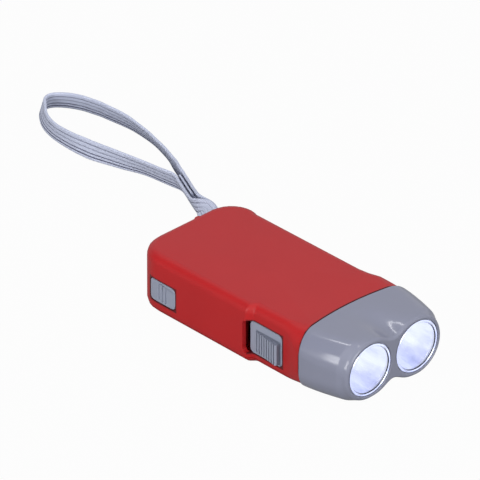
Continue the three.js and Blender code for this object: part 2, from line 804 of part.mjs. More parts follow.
function reflector(place) {
  const bowl = (share, extra) => {
    const reach = reflectorThroat ** 2 + (reflectorMouth ** 2 - reflectorThroat ** 2) * share;
    return [Math.sqrt(reach) + extra, fromRear(reflectorBack + (reflectorFront - reflectorBack) * share)];
  };
  const inner = bowlShares.map((share) => bowl(share, 0));
  const flangeBack = fromRear(reflectorFront - reflectorFlange);
  const outer = bowlShares
    .slice(0, -1)
    .map((share) => bowl(share, reflectorWall))
    .filter(([radius, x]) => x < flangeBack && radius < lensFlangeRadius - reflectorWall / 2)
    .reverse();
  const rim = [
    [lensFlangeRadius, fromRear(reflectorFront)],
    [lensFlangeRadius, flangeBack],
    [Math.min(reflectorMouth + reflectorWall / 2, lensFlangeRadius - reflectorWall / 4), flangeBack],
  ];
  return turnedX([...inner, ...rim, ...outer, inner[0]], place, 24);
}

const ledBoardFront = reflectorBack - lensPlay;
const domeTurns = 5;

function led(place) {
  const base = fromRear(ledBoardFront);
  const domeStart = base + ledLength - ledRadius;
  const profile = [
    [0, base],
    [ledFlangeRadius, base],
    [ledFlangeRadius, base + ledFlangeHeight],
    [ledRadius, base + ledFlangeHeight],
  ];
  for (let i = 0; i <= domeTurns; i++) {
    const turn = ((Math.PI / 2) * i) / domeTurns;
    profile.push([i === domeTurns ? 0 : ledRadius * Math.cos(turn), domeStart + ledRadius * Math.sin(turn)]);
  }
  return turnedX(profile, place, 20);
}

function ledBoard() {
  return boxBetween(
    [fromRear(ledBoardFront - ledBoardThickness), -ledBoardWidth / 2, lampHeight - ledBoardHeight / 2],
    [fromRear(ledBoardFront), ledBoardWidth / 2, lampHeight + ledBoardHeight / 2],
  );
}

// Gears

const involute = (angle) => Math.tan(angle) - angle;

// Half the angle that a tooth takes up at a radius
function toothHalfAngle(teeth, radius) {
  const base = pitch(teeth) * Math.cos(pressureAngle);
  const atPitch = Math.PI / (2 * teeth) - backlash / (4 * pitch(teeth));
  if (radius > base) return atPitch + involute(pressureAngle) - involute(Math.acos(base / radius));
  const atBase = atPitch + involute(pressureAngle);
  const root = pitch(teeth) - gearModule * dedendumShare;
  const share = (radius - root) / Math.max(base - root, radius - root);
  return atBase * (undercutShare + (1 - undercutShare) * share);
}

const flankShares = [0, 0.5, 1];

function toothPoints(centre, teeth, middle) {
  const root = pitch(teeth) - gearModule * dedendumShare;
  const flank = between(root, tip(teeth), flankShares);
  const side = (radius, sign) => beside(centre, middle + sign * toothHalfAngle(teeth, radius), radius);
  return [
    ...flank.map((radius) => side(radius, -1)),
    ...flank.reverse().map((radius) => side(radius, 1)),
  ];
}

function gear(centre, teeth, phase, low, high) {
  const turns = Array.from({ length: teeth }, (_, i) => phase + (2 * Math.PI * i) / teeth);
  return plate(turns.flatMap((turn) => toothPoints(centre, teeth, turn)), low, high);
}

// The phase that puts a gear's gap where its neighbour has a tooth
function meshPhase(bearing, teeth, neighbourTeeth, neighbourPhase) {
  const pitchAngle = (2 * Math.PI) / teeth;
  const neighbourPitch = (2 * Math.PI) / neighbourTeeth;
  const turn = (bearing - neighbourPhase) / neighbourPitch;
  return bearing + Math.PI - pitchAngle * (1 / 2 - turn);
}

const sectorPhase = firstBearing;
const firstPinionPhase = meshPhase(firstBearing, firstPinionTeeth, sectorTeethRound, sectorPhase);
const firstWheelPhase = secondBearing;
const secondPinionPhase = meshPhase(secondBearing, secondPinionTeeth, firstWheelTeeth, firstWheelPhase);
const secondWheelPhase = rotorBearing;
const rotorPhase = meshPhase(rotorBearing, rotorTeeth, secondWheelTeeth, secondWheelPhase);

// Heights, layer by layer
const sectorHigh = sectorLow + sectorThickness;
const firstWheelLow = sectorHigh + layerGap;
const firstWheelHigh = firstWheelLow + wheelThickness;
const secondWheelLow = firstWheelHigh + layerGap;
const secondWheelHigh = secondWheelLow + wheelThickness;
const magnetHigh = magnetLow + magnetHeight;
const coreLow = magnetLow + (magnetHeight - coreHeight) / 2;
const hubLow = wall + axleBossHeight + fitGap;
const hubHigh = coverLow - fitGap;

// A large wheel above a pinion, each given as its tooth count, phase and lower height
function compoundGear(centre, [wheelTeeth, wheelPhase, wheelLow], [pinionTeeth, pinionPhase, pinionLow]) {
  const body = join(
    gear(centre, wheelTeeth, wheelPhase, wheelLow, wheelLow + wheelThickness),
    gear(centre, pinionTeeth, pinionPhase, pinionLow, wheelLow + layerGap),
    barZ(gearHub, hubLow, hubHigh, centre, 20),
  );
  return cut(body, barZ(axleRadius + axlePlay, hubLow - overrun, hubHigh + overrun, centre, 16));
}

function firstGear() {
  const wheel = [firstWheelTeeth, firstWheelPhase, firstWheelLow];
  return compoundGear(firstAxle, wheel, [firstPinionTeeth, firstPinionPhase, sectorLow - layerGap]);
}

function secondGear() {
  const wheel = [secondWheelTeeth, secondWheelPhase, secondWheelLow];
  return compoundGear(secondAxle, wheel, [secondPinionTeeth, secondPinionPhase, firstWheelLow - layerGap]);
}

function rotor() {
  const body = join(
    barZ(magnetBore - axlePlay, hubLow, secondWheelLow, rotorAxle, 20),
    barZ(flywheelRadius, magnetHigh + fitGap, magnetHigh + fitGap + flywheelThickness, rotorAxle, 40),
    gear(rotorAxle, rotorTeeth, rotorPhase, secondWheelLow - layerGap, secondWheelHigh + layerGap),
    barZ(gearHub, secondWheelHigh, hubHigh, rotorAxle, 20),
  );
  return cut(body, barZ(axleRadius + axlePlay, hubLow - overrun, hubHigh + overrun, rotorAxle, 16));
}

function ringMagnet() {
  const bore = barZ(magnetBore, magnetLow - overrun, magnetHigh + overrun, rotorAxle, 20);
  return cut(barZ(magnetRadius, magnetLow, magnetHigh, rotorAxle, 40), bore);
}

const axle = (place) => barZ(axleRadius, wall + fitGap / 2, coverLow + coverThickness, place, 16);

// Generator core, a U with pole faces bent round the magnet, and its coil
const coreOuter = magnetRadius + airGap + coreLimb;

function statorCore() {
  const [x, y] = rotorAxle;
  const high = coreLow + coreHeight;
  const block = boxBetween([x - coreOuter, y - coreBack, coreLow], [x + coreOuter, y + coreReach, high]);
  const inner = magnetRadius + airGap;
  const throat = boxBetween(
    [x - inner, y - coreBack + coreBackDepth, coreLow - overrun],
    [x + inner, y + coreReach + overrun, high + overrun],
  );
  return cut(block, throat, barZ(inner, coreLow - overrun, high + overrun, rotorAxle, 40));
}

const coilPlace = [rotorAxle[1] - coreBack + coreBackDepth / 2, coreLow + coreHeight / 2];
const coilHalf = [coreBackDepth / 2, coreHeight / 2];

// A square sleeve round the core's back, from one place along X to another
function sleeve(start, end, innerGap, outerGap) {
  const block = (gap, extra) =>
    boxBetween(
      [start - extra, coilPlace[0] - coilHalf[0] - gap, coilPlace[1] - coilHalf[1] - gap],
      [end + extra, coilPlace[0] + coilHalf[0] + gap, coilPlace[1] + coilHalf[1] + gap],
    );
  return cut(block(outerGap, 0), block(innerGap, overrun));
}

const bobbinReach = magnetRadius + airGap - fitGap;
const coilHigh = coreLow + coreHeight + bobbinWall + coilBuild;

function bobbin() {
  const [x] = rotorAxle;
  const play = fitGap / 2;
  return join(
    sleeve(x - bobbinReach, x + bobbinReach, play, bobbinWall),
    sleeve(x - bobbinReach, x - bobbinReach + bobbinFlange, play, bobbinWall + coilBuild),
    sleeve(x + bobbinReach - bobbinFlange, x + bobbinReach, play, bobbinWall + coilBuild),
  );
}

function coil() {
  const reach = bobbinReach - bobbinFlange - fitGap / 2;
  return sleeve(rotorAxle[0] - reach, rotorAxle[0] + reach, bobbinWall + fitGap / 2, bobbinWall + coilBuild);
}

// A flat arm between two places, with round ends
function arm(start, end, halfWidth, low, high) {
  const bearing = Math.atan2(end[1] - start[1], end[0] - start[0]);
  const steps = 5;
  const half = (centre, from) =>
    Array.from({ length: steps + 1 }, (_, i) => beside(centre, from + (Math.PI * i) / steps, halfWidth));
  return plate([...half(end, bearing - Math.PI / 2), ...half(start, bearing + Math.PI / 2)], low, high);
}

function gearCover() {
  const high = coverLow + coverThickness;
  const links = [
    [coverPosts.rear, rotorAxle],
    [coverPosts.far, rotorAxle],
    [rotorAxle, secondAxle],
    [secondAxle, firstAxle],
    [firstAxle, coverPosts.front],
    [coverPosts.front, coverPosts.near],
    [coverPosts.near, secondAxle],
    [coverPosts.far, firstAxle],
  ];
  const arms = links.map(([start, end]) => arm(start, end, coverArm, coverLow, high));
  const axleHoles = [firstAxle, secondAxle, rotorAxle].map((place) =>
    barZ(axleRadius + axlePlay, coverLow - overrun, high + overrun, place, 16),
  );
  const screwHoles = Object.values(coverPosts).map((place) =>
    barZ(screwRadius + screwPlay / 2, coverLow - overrun, high + overrun, place, 12),
  );
  const farBoss = barZ(bossRadius + fitGap, coverLow - overrun, high + overrun, screwBosses.far);
  return cut(join(...arms), ...axleHoles, ...screwHoles, farBoss);
}

// A slotted pan screw; its head is up, or down under the bottom cover
function screw(place, seat, length, headUp) {
  const side = headUp ? 1 : -1;
  const span = (start, end) => [Math.min(start, end), Math.max(start, end)];
  const [headLow, headHigh] = span(seat, seat + side * screwHeadHeight);
  const [shankLow, shankHigh] = span(seat + (side * screwHeadHeight) / 2, seat - side * length);
  const top = seat + side * screwHeadHeight;
  const [slotLow, slotHigh] = span(top - side * screwSlotDepth, top + side * overrun);
  const slot = boxBetween(
    [place[0] - screwHeadRadius - overrun, place[1] - screwSlotWidth / 2, slotLow],
    [place[0] + screwHeadRadius + overrun, place[1] + screwSlotWidth / 2, slotHigh],
  );
  const head = barZ(screwHeadRadius, headLow, headHigh, place, 12);
  return cut(join(head, barZ(screwRadius, shankLow, shankHigh, place, 8)), slot);
}

// Squeeze lever

const leverFace = (x) => farEdge(x) + leverBulge;
const leverShares = [0, 0.06, 0.14, 0.3, 0.55, 0.8, 1];
const hubTurns = 8;

function leverOutline() {
  const outer = between(leverRear, leverShoulder, leverShares).map((x) => [fromRear(x), leverFace(x)]);
  const hub = Array.from({ length: hubTurns + 1 }, (_, i) => {
    const angle = Math.PI / 2 - (Math.PI * i) / hubTurns;
    return beside(pivot, angle, leverHub);
  });
  const inner = [
    [fromRear(leverShoulder - leverDepth), leverFace(leverShoulder) - leverDepth],
    [fromRear(leverRear), leverFace(leverRear) - leverDepth],
  ];
  return [...outer, ...hub, ...inner].reverse();
}

// The space inside the channel, open towards the gears
function leverChannel() {
  const outer = between(leverRear + leverWall, leverShoulder, leverShares);
  const hub = Array.from({ length: hubTurns / 2 + 1 }, (_, i) => {
    const angle = Math.PI / 2 - (Math.PI * i) / hubTurns;
    return beside(pivot, angle, leverHub - leverWall);
  });
  const front = pivot[0] + leverHub + overrun;
  return [
    ...outer.map((x) => [fromRear(x), leverFace(x) - leverWall]),
    ...hub,
    [front, pivot[1]],
    [front, pivot[1] - leverHub - overrun],
    [fromRear(leverRear + leverWall), leverFace(leverRear) - leverDepth - leverHub - overrun],
  ].reverse();
}

const lockBarLow = coreLow + coreHeight + leverGap;
const lockBarTop = lockBarLow + lockBarHeight;
const hookInner = leverFace(leverRear) - hookReach;

function squeezeLever() {
  const edge = leverOutline();
  const body = roundedPlate(edge, inwardMoves(edge), leverLow, leverTop, () => leverEdge, 0, 2);
  const channel = plate(leverChannel(), leverLow + leverWall, leverTop - leverWall);
  const rear = fromRear(leverRear);
  const hookHigh = lockBarLow + (lockBarHeight + hookHeight) / 2;
  const finger = boxBetween(
    [rear + hookBarb, hookInner, hookHigh - hookHeight],
    [rear + hookBarb + hookWidth, leverFace(leverRear) - leverWall, hookHigh],
  );
  const barb = boxBetween(
    [rear, hookInner, hookHigh - hookHeight],
    [rear + hookBarb + hookWidth, hookInner + hookWidth, hookHigh],
  );
  const bore = barZ(pivotRadius + axlePlay, leverLow - overrun, leverTop + overrun, pivot);
  return cut(join(cut(body, channel), finger, barb), bore);
}

function sectorGear() {
  const pitchAngle = (2 * Math.PI) / sectorTeethRound;
  const first = Math.ceil(-sectorMargin / pitchAngle);
  const last = Math.floor((leverSwing + sectorMargin) / pitchAngle);
  const count = last - first + 1;
  const places = Array.from({ length: count }, (_, i) => sectorPhase + (first + i) * pitchAngle);
  const teeth = places.flatMap((angle) => toothPoints(pivot, sectorTeethRound, angle));
  const hubSides = [places.at(-1) + pitchAngle / 2, places[0] - pitchAngle / 2];
  const root = hubSides.map((angle) => beside(pivot, angle, leverHub / 2));
  const fan = plate([...teeth, ...root], sectorLow, sectorHigh);
  const middle = (places[0] + places.at(-1)) / 2;
  const windows = [-1, 1].map((side) => {
    const place = beside(pivot, middle + 2 * side * pitchAngle, sectorWindowReach);
    return barZ(sectorWindow, sectorLow - overrun, sectorHigh + overrun, place);
  });
  const hub = barZ(leverHub - leverWall - fitGap, sectorLow, sectorHigh, pivot);
  const bossHigh = sectorHigh + sectorBossHeight;
  const boss = barZ(sectorBoss, sectorHigh - layerGap, bossHigh, pivot, 16);
  const bore = barZ(pivotRadius + axlePlay, sectorLow - overrun, bossHigh + overrun, pivot);
  return cut(join(fan, hub, boss), ...windows, bore);
}

const pivotPin = () => barZ(pivotRadius, wall + fitGap / 2, bodyHeight - wall + fitGap, pivot);

// Return spring round the pivot pin, one leg against the lever and one against a post of the upper shell
const turnSteps = 8;
const springStart = springFixedBearing + Math.PI / 2;
const springSweep = springTurns * 2 * Math.PI + springMovingBearing - springFixedBearing + Math.PI;
const springLow = sectorHigh + sectorBossHeight + layerGap + springWire;
const springHigh = springLow + (springPitch * springSweep) / (2 * Math.PI);
const springFoot = beside(beside(pivot, springStart, springCoil), springFixedBearing, springFixedLeg);
const springStop = beside(springFoot, springStart, springPostRadius + springWire + fitGap / 2);

function leverSpring() {
  const count = Math.round((springSweep / (2 * Math.PI)) * turnSteps);
  const turns = Array.from({ length: count + 1 }, (_, i) => {
    const share = i / count;
    const height = springLow + (springHigh - springLow) * share;
    return [...beside(pivot, springStart + springSweep * share, springCoil), height];
  });
  const hand = beside(turns.at(-1), springMovingBearing, springLeg);
  const foot = beside(springFoot, springFixedBearing, springPostRadius);
  return wireAlong([[...foot, springLow], ...turns, [...hand, springHigh]], springWire);
}

// Lock button and its bar

// The room inside the housing, with a gap to its walls
function innerSpace(gap) {
  const margin = wall + gap;
  return roundedPlate(outline, outlineMoves, margin, bodyHeight - margin, hollowRoundAt, margin, 2);
}

function lockButton() {
  const inner = -nearSide + lockDepth;
  const nearHalf = [
    [xRear - overrun, -headHalfWidth - overrun, 0],
    [0, inner, bodyHeight],
  ];
  const plug = windowPlug(lockRear, lockFront, lockLow, lockHigh, lockCorner);
  const face = plug.intersect(boxBetween(...nearHalf));
  const flange = boxBetween(
    [fromRear(lockRear) - lockFlange, insideNear - overrun, lockLow - lockFlange],
    [fromRear(lockFront) + lockFlange, insideNear + lockFlangeThickness + fitGap, lockHigh + lockFlange],
  );
  const middle = fromRear((lockRear + lockFront) / 2);
  const grooves = Array.from({ length: lockGrooves }, (_, i) => {
    const x = middle + (i - (lockGrooves - 1) / 2) * lockGroovePitch;
    return boxBetween(
      [x - grooveWidth / 2, -nearSide - overrun, lockLow + lockFlange],
      [x + grooveWidth / 2, -nearSide + grooveDepth, lockHigh - lockFlange],
    );
  });
  return cut(join(face.intersect(wholeHousing()), flange.intersect(innerSpace(fitGap))), ...grooves);
}

function windowPlug(rear, front, low, high, corner) {
  return windowBox(rear, front, low, high, 0, corner);
}

function lockBar() {
  const rear = fromRear(lockRear + lockBarInset);
  const front = rear + lockBarWidth;
  const start = -nearSide + lockDepth + fitGap;
  const strip = boxBetween([rear, start, lockBarLow], [front, lockBarEnd, lockBarTop]);
  const catchFront = fromRear(leverRear) - leverGap;
  const tooth = boxBetween([rear, lockBarEnd - hookWidth, lockBarLow], [catchFront, lockBarEnd, lockBarTop]);
  return join(strip, tooth);
}

function lockSpring() {
  const place = [fromRear((lockRear + lockFront) / 2), (lockLow + lockHigh) / 2];
  const start = -nearSide + lockDepth + lockSpringWire + fitGap / 2;
  const end = start + lockSpringLength - 2 * lockSpringWire;
  const count = lockSpringTurns * turnSteps;
  const turns = Array.from({ length: count + 1 }, (_, i) => {
    const angle = (2 * Math.PI * i) / turnSteps;
    const [x, z] = beside(place, angle, lockSpringRadius);
    return [x, start + ((end - start) * i) / count, z];
  });
  return wireAlong(turns, lockSpringWire);
}

// Slide switch
const scoopFace = -nearSide + scoopDepth;
const knobMiddle = (knobRear + knobFront) / 2;
const stemHeight = boardLow - fitGap / 2 - switchBodyHeight / 2;

function switchKnob() {
  const inner = scoopFace + wall + knobGap + knobFlangeThickness;
  const slab = boxBetween([fromRear(knobRear), scoopFace, knobLow], [fromRear(knobFront), inner, knobHigh]);
  const face = windowPlug(knobRear, knobFront, knobLow, knobHigh, knobCorner).intersect(slab);
  const flange = boxBetween(
    [fromRear(knobRear) - knobFlange, scoopFace + wall + knobGap, knobLow - knobFlange],
    [fromRear(knobFront) + knobFlange, inner, knobHigh + knobFlange],
  );
  const [rear, front] = [fromRear(padRear), fromRear(padFront)];
  const rise = (x) => scoopFace - padStart - ((padRise - padStart) * (x - rear)) / (front - rear);
  const ribs = Array.from({ length: padGrooves }, (_, i) => {
    const x = rear + padGroovePitch * (i + 1 / 2);
    return [
      [x - grooveWidth / 2, rise(x - grooveWidth / 2)],
      [x - grooveWidth / 2, rise(x) + grooveDepth],
      [x + grooveWidth / 2, rise(x) + grooveDepth],
      [x + grooveWidth / 2, rise(x + grooveWidth / 2)],
    ];
  });
  const back = scoopFace + wall / 2;
  const pad = plate(
    [
      [rear, back],
      [rear, rise(rear)],
      ...ribs.flat(),
      [front - padRound, rise(front)],
      [front, rise(front) + padRound],
      [front, back],
    ].reverse(),
    padLow,
    padHigh,
  );
  const stem = fromRear(knobMiddle);
  const halfFork = switchStem / 2 + forkPlay;
  const forkEnd = -boardNear - switchStemRoot / 2;
  const fork = [-1, 1].map((side) => {
    const start = side > 0 ? stem + halfFork : stem - halfFork - forkWall;
    return boxBetween(
      [start, inner - knobFlangeThickness / 2, stemHeight - switchBodyHeight / 2],
      [start + forkWall, forkEnd, stemHeight + switchBodyHeight / 2],
    );
  });
  return join(face, flange, pad, ...fork);
}

function switchSlider() {
  const x = fromRear(knobMiddle);
  return boxBetween(
    [x - switchStem / 2, -boardNear - switchStemReach, stemHeight - switchStem / 2],
    [x + switchStem / 2, -boardNear + switchStemRoot - fitGap, stemHeight + switchStem / 2],
  );
}

function switchBody() {
  const x = fromRear(knobMiddle);
  const middle = x - switchTravel / 2;
  const half = switchBodyHeight / 2;
  const block = boxBetween(
    [middle - switchBodyLength / 2, -boardNear, stemHeight - half],
    [middle + switchBodyLength / 2, -boardNear + switchBodyDepth, stemHeight + half],
  );
  const reach = switchStem / 2 + fitGap;
  const slot = boxBetween(
    [x - switchTravel - reach, -boardNear - overrun, stemHeight - reach],
    [x + reach, -boardNear + switchStemRoot, stemHeight + reach],
  );
  return cut(block, slot);
}

// Main board, cell and clip
const boardTop = boardLow + boardThickness;
const leadSteps = 14;
const cellPlace = [fromRear(cellFromRear), cellSide];
const cellLow = boardTop + fitGap / 2;

function mainBoard() {
  const board = boxBetween([boards.rear, boards.near, boardLow], [boards.front, boards.far, boardTop]);
  const radius = screwRadius + screwPlay / 2;
  const hole = (place) => barZ(radius, boardLow - overrun, boardTop + overrun, place, 12);
  return cut(board, ...boardPosts.map(hole));
}

const coinCell = () => barZ(cellRadius, cellLow, cellLow + cellThickness, cellPlace, 40);

function cellClip() {
  const [x, y] = cellPlace;
  const reach = cellRadius + fitGap / 2;
  const low = cellLow + cellThickness + fitGap / 2;
  const bridge = boxBetween(
    [x - clipWidth / 2, y - reach - clipThickness, low],
    [x + clipWidth / 2, y + reach + clipThickness, low + clipThickness],
  );
  const legs = [-1, 1].map((side) => {
    const start = side > 0 ? y + reach : y - reach - clipThickness;
    return boxBetween(
      [x - clipWidth / 2, start, cellLow],
      [x + clipWidth / 2, start + clipThickness, low + clipThickness],
    );
  });
  return join(bridge, ...legs);
}

function chip() {
  const [x, y] = [boards.rear + fitGap, boards.far - fitGap];
  return boxBetween([x, y - chipLength, cellLow], [x + chipWidth, y, cellLow + chipHeight]);
}

// Leads from the board's underside to the lamps, and from the coil over the gear cover to the board
function lampLead(side) {
  const y = (side * lampLeadSpacing) / 2;
  const startY = y + (boards.near + boards.far) / 2;
  const low = boardLow - leadRadius - fitGap / 2;
  const end = fromRear(ledBoardFront - ledBoardThickness) - fitGap / 2;
  const points = [
    [boards.front - lampPadInset, startY, low],
    [boards.front, startY, low],
    [boards.front + lampPadInset, (y + startY) / 2, low - leadSag],
    [end - lampPadInset / 2, y, lampHeight],
    [end, y, lampHeight],
  ];
  return wireAlong(smooth(points, leadSteps), leadRadius);
}

function coilLead(side) {
  const [x, y] = [rotorAxle[0] - side * coilLeadSpacing, coilPlace[0] - coilHalf[0]];
  const start = coilHigh + fitGap / 2;
  const padX = boards.rear + coilPadInset;
  const padY = cellSide + side * coilPadSide;
  const points = [
    [x, y, start],
    [x, y, (start + coilLeadHeight) / 2],
    [x + leadSag, y + leadSag / 2, coilLeadHeight],
    [secondAxle[0], secondAxle[1] - coilLeadSide + side * coilLeadSpacing, coilLeadHeight],
    [padX - leadSag, padY, coilLeadHeight],
    [padX, padY, boardTop + leadSag],
    [padX, padY, boardTop + fitGap / 2],
  ];
  return wireAlong(smooth(points, leadSteps), leadRadius);
}

// Wrist strap: a flat tape that stands on its edge on the ground, from the slot round the loop and back
const strapClear = strapThickness / 8;
const strapTail = [
  [-2.2, 13, 12.2],
  [-5.6, 15.5, 12.2],
  [-9, 18.3, 12.1],
  [-12.7, 21.3, 11.6],
  [-17.3, 22.9, 10.4],
  [-22.7, 25.9, 8.8],
  [-28.1, 29.3, 7],
  [-33.2, 32.4, 5.7],
  [-38, 35.2, 4.8],
  [-42, 37.3, 4.3],
];
// Each stop of the loop: distance from the rear, side, and lean towards the loop's inside in degrees
const strapLoop = [
  [-45.5, 39.6, 9.9],
  [-50.9, 42.6, 10],
  [-55.9, 44.8, 14.1],
  [-60.9, 47, 20],
  [-66.6, 48.8, 23.6],
  [-72.8, 50.5, 24],
  [-79.4, 51.5, 22],
  [-85.4, 52.1, 18],
  [-91.1, 51.9, 14.2],
  [-96.1, 51.4, 12.1],
  [-100.3, 51, 11.1],
  [-103.7, 50.2, 10.1],
  [-107, 49.4, 10.5],
  [-110.7, 47.8, 10.1],
  [-114, 45.6, 12.1],
  [-117, 41.9, 14.2],
  [-116.6, 38.3, 14.1],
  [-112.8, 34.6, 15.8],
  [-107.5, 30.9, 6.6],
  [-100.8, 28.7, 0.4],
  [-93.8, 28.1, 3.5],
  [-88.6, 28.2, 8.4],
  [-85.1, 28.6, 14.7],
  [-81.5, 29, 16.7],
  [-77.1, 29.9, 9.8],
  [-72.8, 31, 3.6],
  [-68.1, 32.1, -2.3],
  [-63.9, 33.2, -9.4],
  [-60, 34.2, -14.4],
  [-55.7, 34.9, -15.1],
  [-51.2, 35.4, -14.9],
  [-45.4, 36.2, -12.8],
];
const tailSteps = 16;
const loopSteps = 46;
const settleSteps = 4;

// The tape's width direction turns from level at the slot past upright at the neck
function tapeFrame(point, next, share) {
  const along = new THREE.Vector3(...next).sub(new THREE.Vector3(...point)).normalize();
  const level = along.clone().cross(new THREE.Vector3(0, 0, 1)).normalize();
  const upright = level.clone().cross(along);
  const turn = (Math.PI / 2 + neckLean) * ease(share, twistStartShare, twistEndShare);
  const width = level.multiplyScalar(Math.cos(turn)).addScaledVector(upright, Math.sin(turn));
  return { width, across: along.clone().cross(width) };
}

function tapeRing(point, width, across) {
  const [half, thin] = [strapWidth / 2, strapThickness / 2];
  const chamfer = strapThickness / 4;
  const section = [
    [half, thin - chamfer],
    [half - chamfer, thin],
    [chamfer - half, thin],
    [-half, thin - chamfer],
    [-half, chamfer - thin],
    [chamfer - half, -thin],
    [half - chamfer, -thin],
    [half, chamfer - thin],
  ];
  const centre = new THREE.Vector3(...point);
  const place = ([w, t]) => centre.clone().addScaledVector(width, w).addScaledVector(across, t);
  return section.map((corner) => place(corner).toArray());
}

const shifted = ([x, y, z]) => [fromRear(x), y, z];

// The height of the leaning tape's middle where its lower edge is on the ground
function standing(lean) {
  return strapClear + (strapWidth / 2) * Math.cos(lean) + (strapThickness / 2) * Math.abs(Math.sin(lean));
}

// How much of the neck's height is left, some steps away from it
const unsettled = (steps) => 1 - ease(steps, 0, settleSteps);

function wristStrap() {
  const tail = smooth(strapTail.map(shifted), tailSteps);
  const frames = tail.map((point, i) => {
    const ahead = tail[Math.min(i + 1, tailSteps)];
    const behind = tail[Math.min(i, tailSteps - 1)];
    return tapeFrame(behind, ahead, i / tailSteps);
  });
  const ply = (side) =>
    tail.map((point, i) => {
      const { width, across } = frames[i];
      const centre = new THREE.Vector3(...point).addScaledVector(across, (side * strapPlySpread) / 2);
      return { centre: centre.toArray(), width, across };
    });
  const [out, back] = [ply(1), ply(-1).reverse()];
  const [first, last] = [out.at(-1).centre, back[0].centre];
  const stops = [
    [first[0], first[1], neckLean],
    ...strapLoop.map(([x, y, lean]) => [fromRear(x), y, degrees(lean)]),
    [last[0], last[1], -neckLean],
  ];
  const loop = smooth(stops, loopSteps);
  const lifts = [first[2] - standing(neckLean), last[2] - standing(neckLean)];
  const upright = new THREE.Vector3(0, 0, 1);
  const loopRings = loop.slice(1, -1).map(([x, y, lean], i) => {
    const [before, after] = [loop[i], loop[i + 2]];
    const along = new THREE.Vector3(after[0] - before[0], after[1] - before[1], 0).normalize();
    const outside = along.cross(upright);
    const [sine, cosine] = [Math.sin(lean), Math.cos(lean)];
    const width = upright.clone().multiplyScalar(cosine).addScaledVector(outside, -sine);
    const across = outside.clone().multiplyScalar(cosine).addScaledVector(upright, sine);
    const lift = lifts[0] * unsettled(i + 1) + lifts[1] * unsettled(loopSteps - 1 - i);
    return tapeRing([x, y, standing(lean) + lift], width, across);
  });
  const outRings = out.map(({ centre, width, across }) => tapeRing(centre, width, across));
  const backRings = back.map(({ centre, width, across }) => tapeRing(centre, width, across.clone().negate()));
  return skinOf([...outRings, ...loopRings, ...backRings]);
}

// The tape's turn round the pin, inside the housing
function strapFold() {
  const radius = strapPlySpread / 2;
  const steps = 8;
  const outward = new THREE.Vector3(Math.cos(strapOutward), Math.sin(strapOutward), 0);
  const across = new THREE.Vector3(Math.cos(strapAcross), Math.sin(strapAcross), 0).negate();
  const up = new THREE.Vector3(0, 0, 1);
  const centre = new THREE.Vector3(...strapPin, strapHeight);
  const first = new THREE.Vector3(...shifted(strapTail[0]));
  const straight = first.clone().sub(centre).dot(outward) - 2 * fitGap;
  const place = (forward, rise) => centre.clone().addScaledVector(outward, forward).addScaledVector(up, rise);
  const at = (forward, rise) => place(forward, rise).toArray();
  const rings = [tapeRing(at(straight, radius), across, up)];
  for (let i = 0; i <= steps; i++) {
    const turn = Math.PI / 2 + (Math.PI * i) / steps;
    const radial = outward.clone().multiplyScalar(Math.cos(turn)).addScaledVector(up, Math.sin(turn));
    rings.push(tapeRing(at(radius * Math.cos(turn), radius * Math.sin(turn)), across, radial));
  }
  rings.push(tapeRing(at(straight, -radius), across, up.clone().negate()));
  return skinOf(rings);
}

const strapRod = () => strapBar(strapPinRadius, strapRodHalf);

// Assembly
addNode("upper_shell", upperShell(), materials.red);
addNode("bottom_cover", bottomCover(), materials.red);
addNode("head_bezel", headBezel(), materials.grey);
for (const [i, place] of lampPlaces.entries()) {
  const side = i === 0 ? "near" : "far";
  addNode(`lens_${side}`, lens(place), materials.clear);
  addNode(`reflector_${side}`, reflector(place), materials.chrome);
  addNode(`led_${side}`, led(place), materials.lamp);
}
addNode("led_board", ledBoard(), materials.board);
addNode("squeeze_lever", squeezeLever(), materials.red);
addNode("sector_gear", sectorGear(), materials.nylon);
addNode("pivot_pin", pivotPin(), materials.steel);
addNode("lever_spring", leverSpring(), materials.steel);
addNode("first_gear", firstGear(), materials.nylon);
addNode("second_gear", secondGear(), materials.nylon);
addNode("rotor", rotor(), materials.black);
addNode("ring_magnet", ringMagnet(), materials.ferrite);
addNode("first_axle", axle(firstAxle), materials.steel);
addNode("second_axle", axle(secondAxle), materials.steel);
addNode("rotor_axle", axle(rotorAxle), materials.steel);
addNode("stator_core", statorCore(), materials.iron);
addNode("coil_bobbin", bobbin(), materials.nylon);
addNode("coil_winding", coil(), materials.copper);
addNode("gear_cover", gearCover(), materials.black);
for (const [name, place] of Object.entries(coverPosts)) {
  const seat = coverLow + coverThickness;
  addNode(`cover_screw_${name}`, screw(place, seat, shortScrewLength, true), materials.steel);
}
for (const [name, place] of Object.entries(screwBosses))
  addNode(`shell_screw_${name}`, screw(place, counterboreDepth, screwLength, false), materials.steel);
addNode("main_board", mainBoard(), materials.board);
addNode("coin_cell", coinCell(), materials.steel);
addNode("cell_clip", cellClip(), materials.steel);
addNode("driver_chip", chip(), materials.black);
for (const [i, place] of boardPosts.entries())
  addNode(`board_screw_${i + 1}`, screw(place, boardTop, shortScrewLength, true), materials.steel);
for (const [i, side] of [-1, 1].entries()) {
  addNode(`lamp_lead_${i + 1}`, lampLead(side), materials.leadRed);
  addNode(`coil_lead_${i + 1}`, coilLead(side), materials.leadRed);
}
addNode("switch_body", switchBody(), materials.black);
addNode("switch_slider", switchSlider(), materials.black);
addNode("switch_knob", switchKnob(), materials.greyMatt);
addNode("lock_button", lockButton(), materials.greyMatt);
addNode("lock_bar", lockBar(), materials.black);
addNode("lock_spring", lockSpring(), materials.steel);
addNode("strap_pin", strapRod(), materials.steel);
addNode("strap_fold", strapFold(), materials.strap);
addNode("wrist_strap", wristStrap(), materials.strap);

export default part;
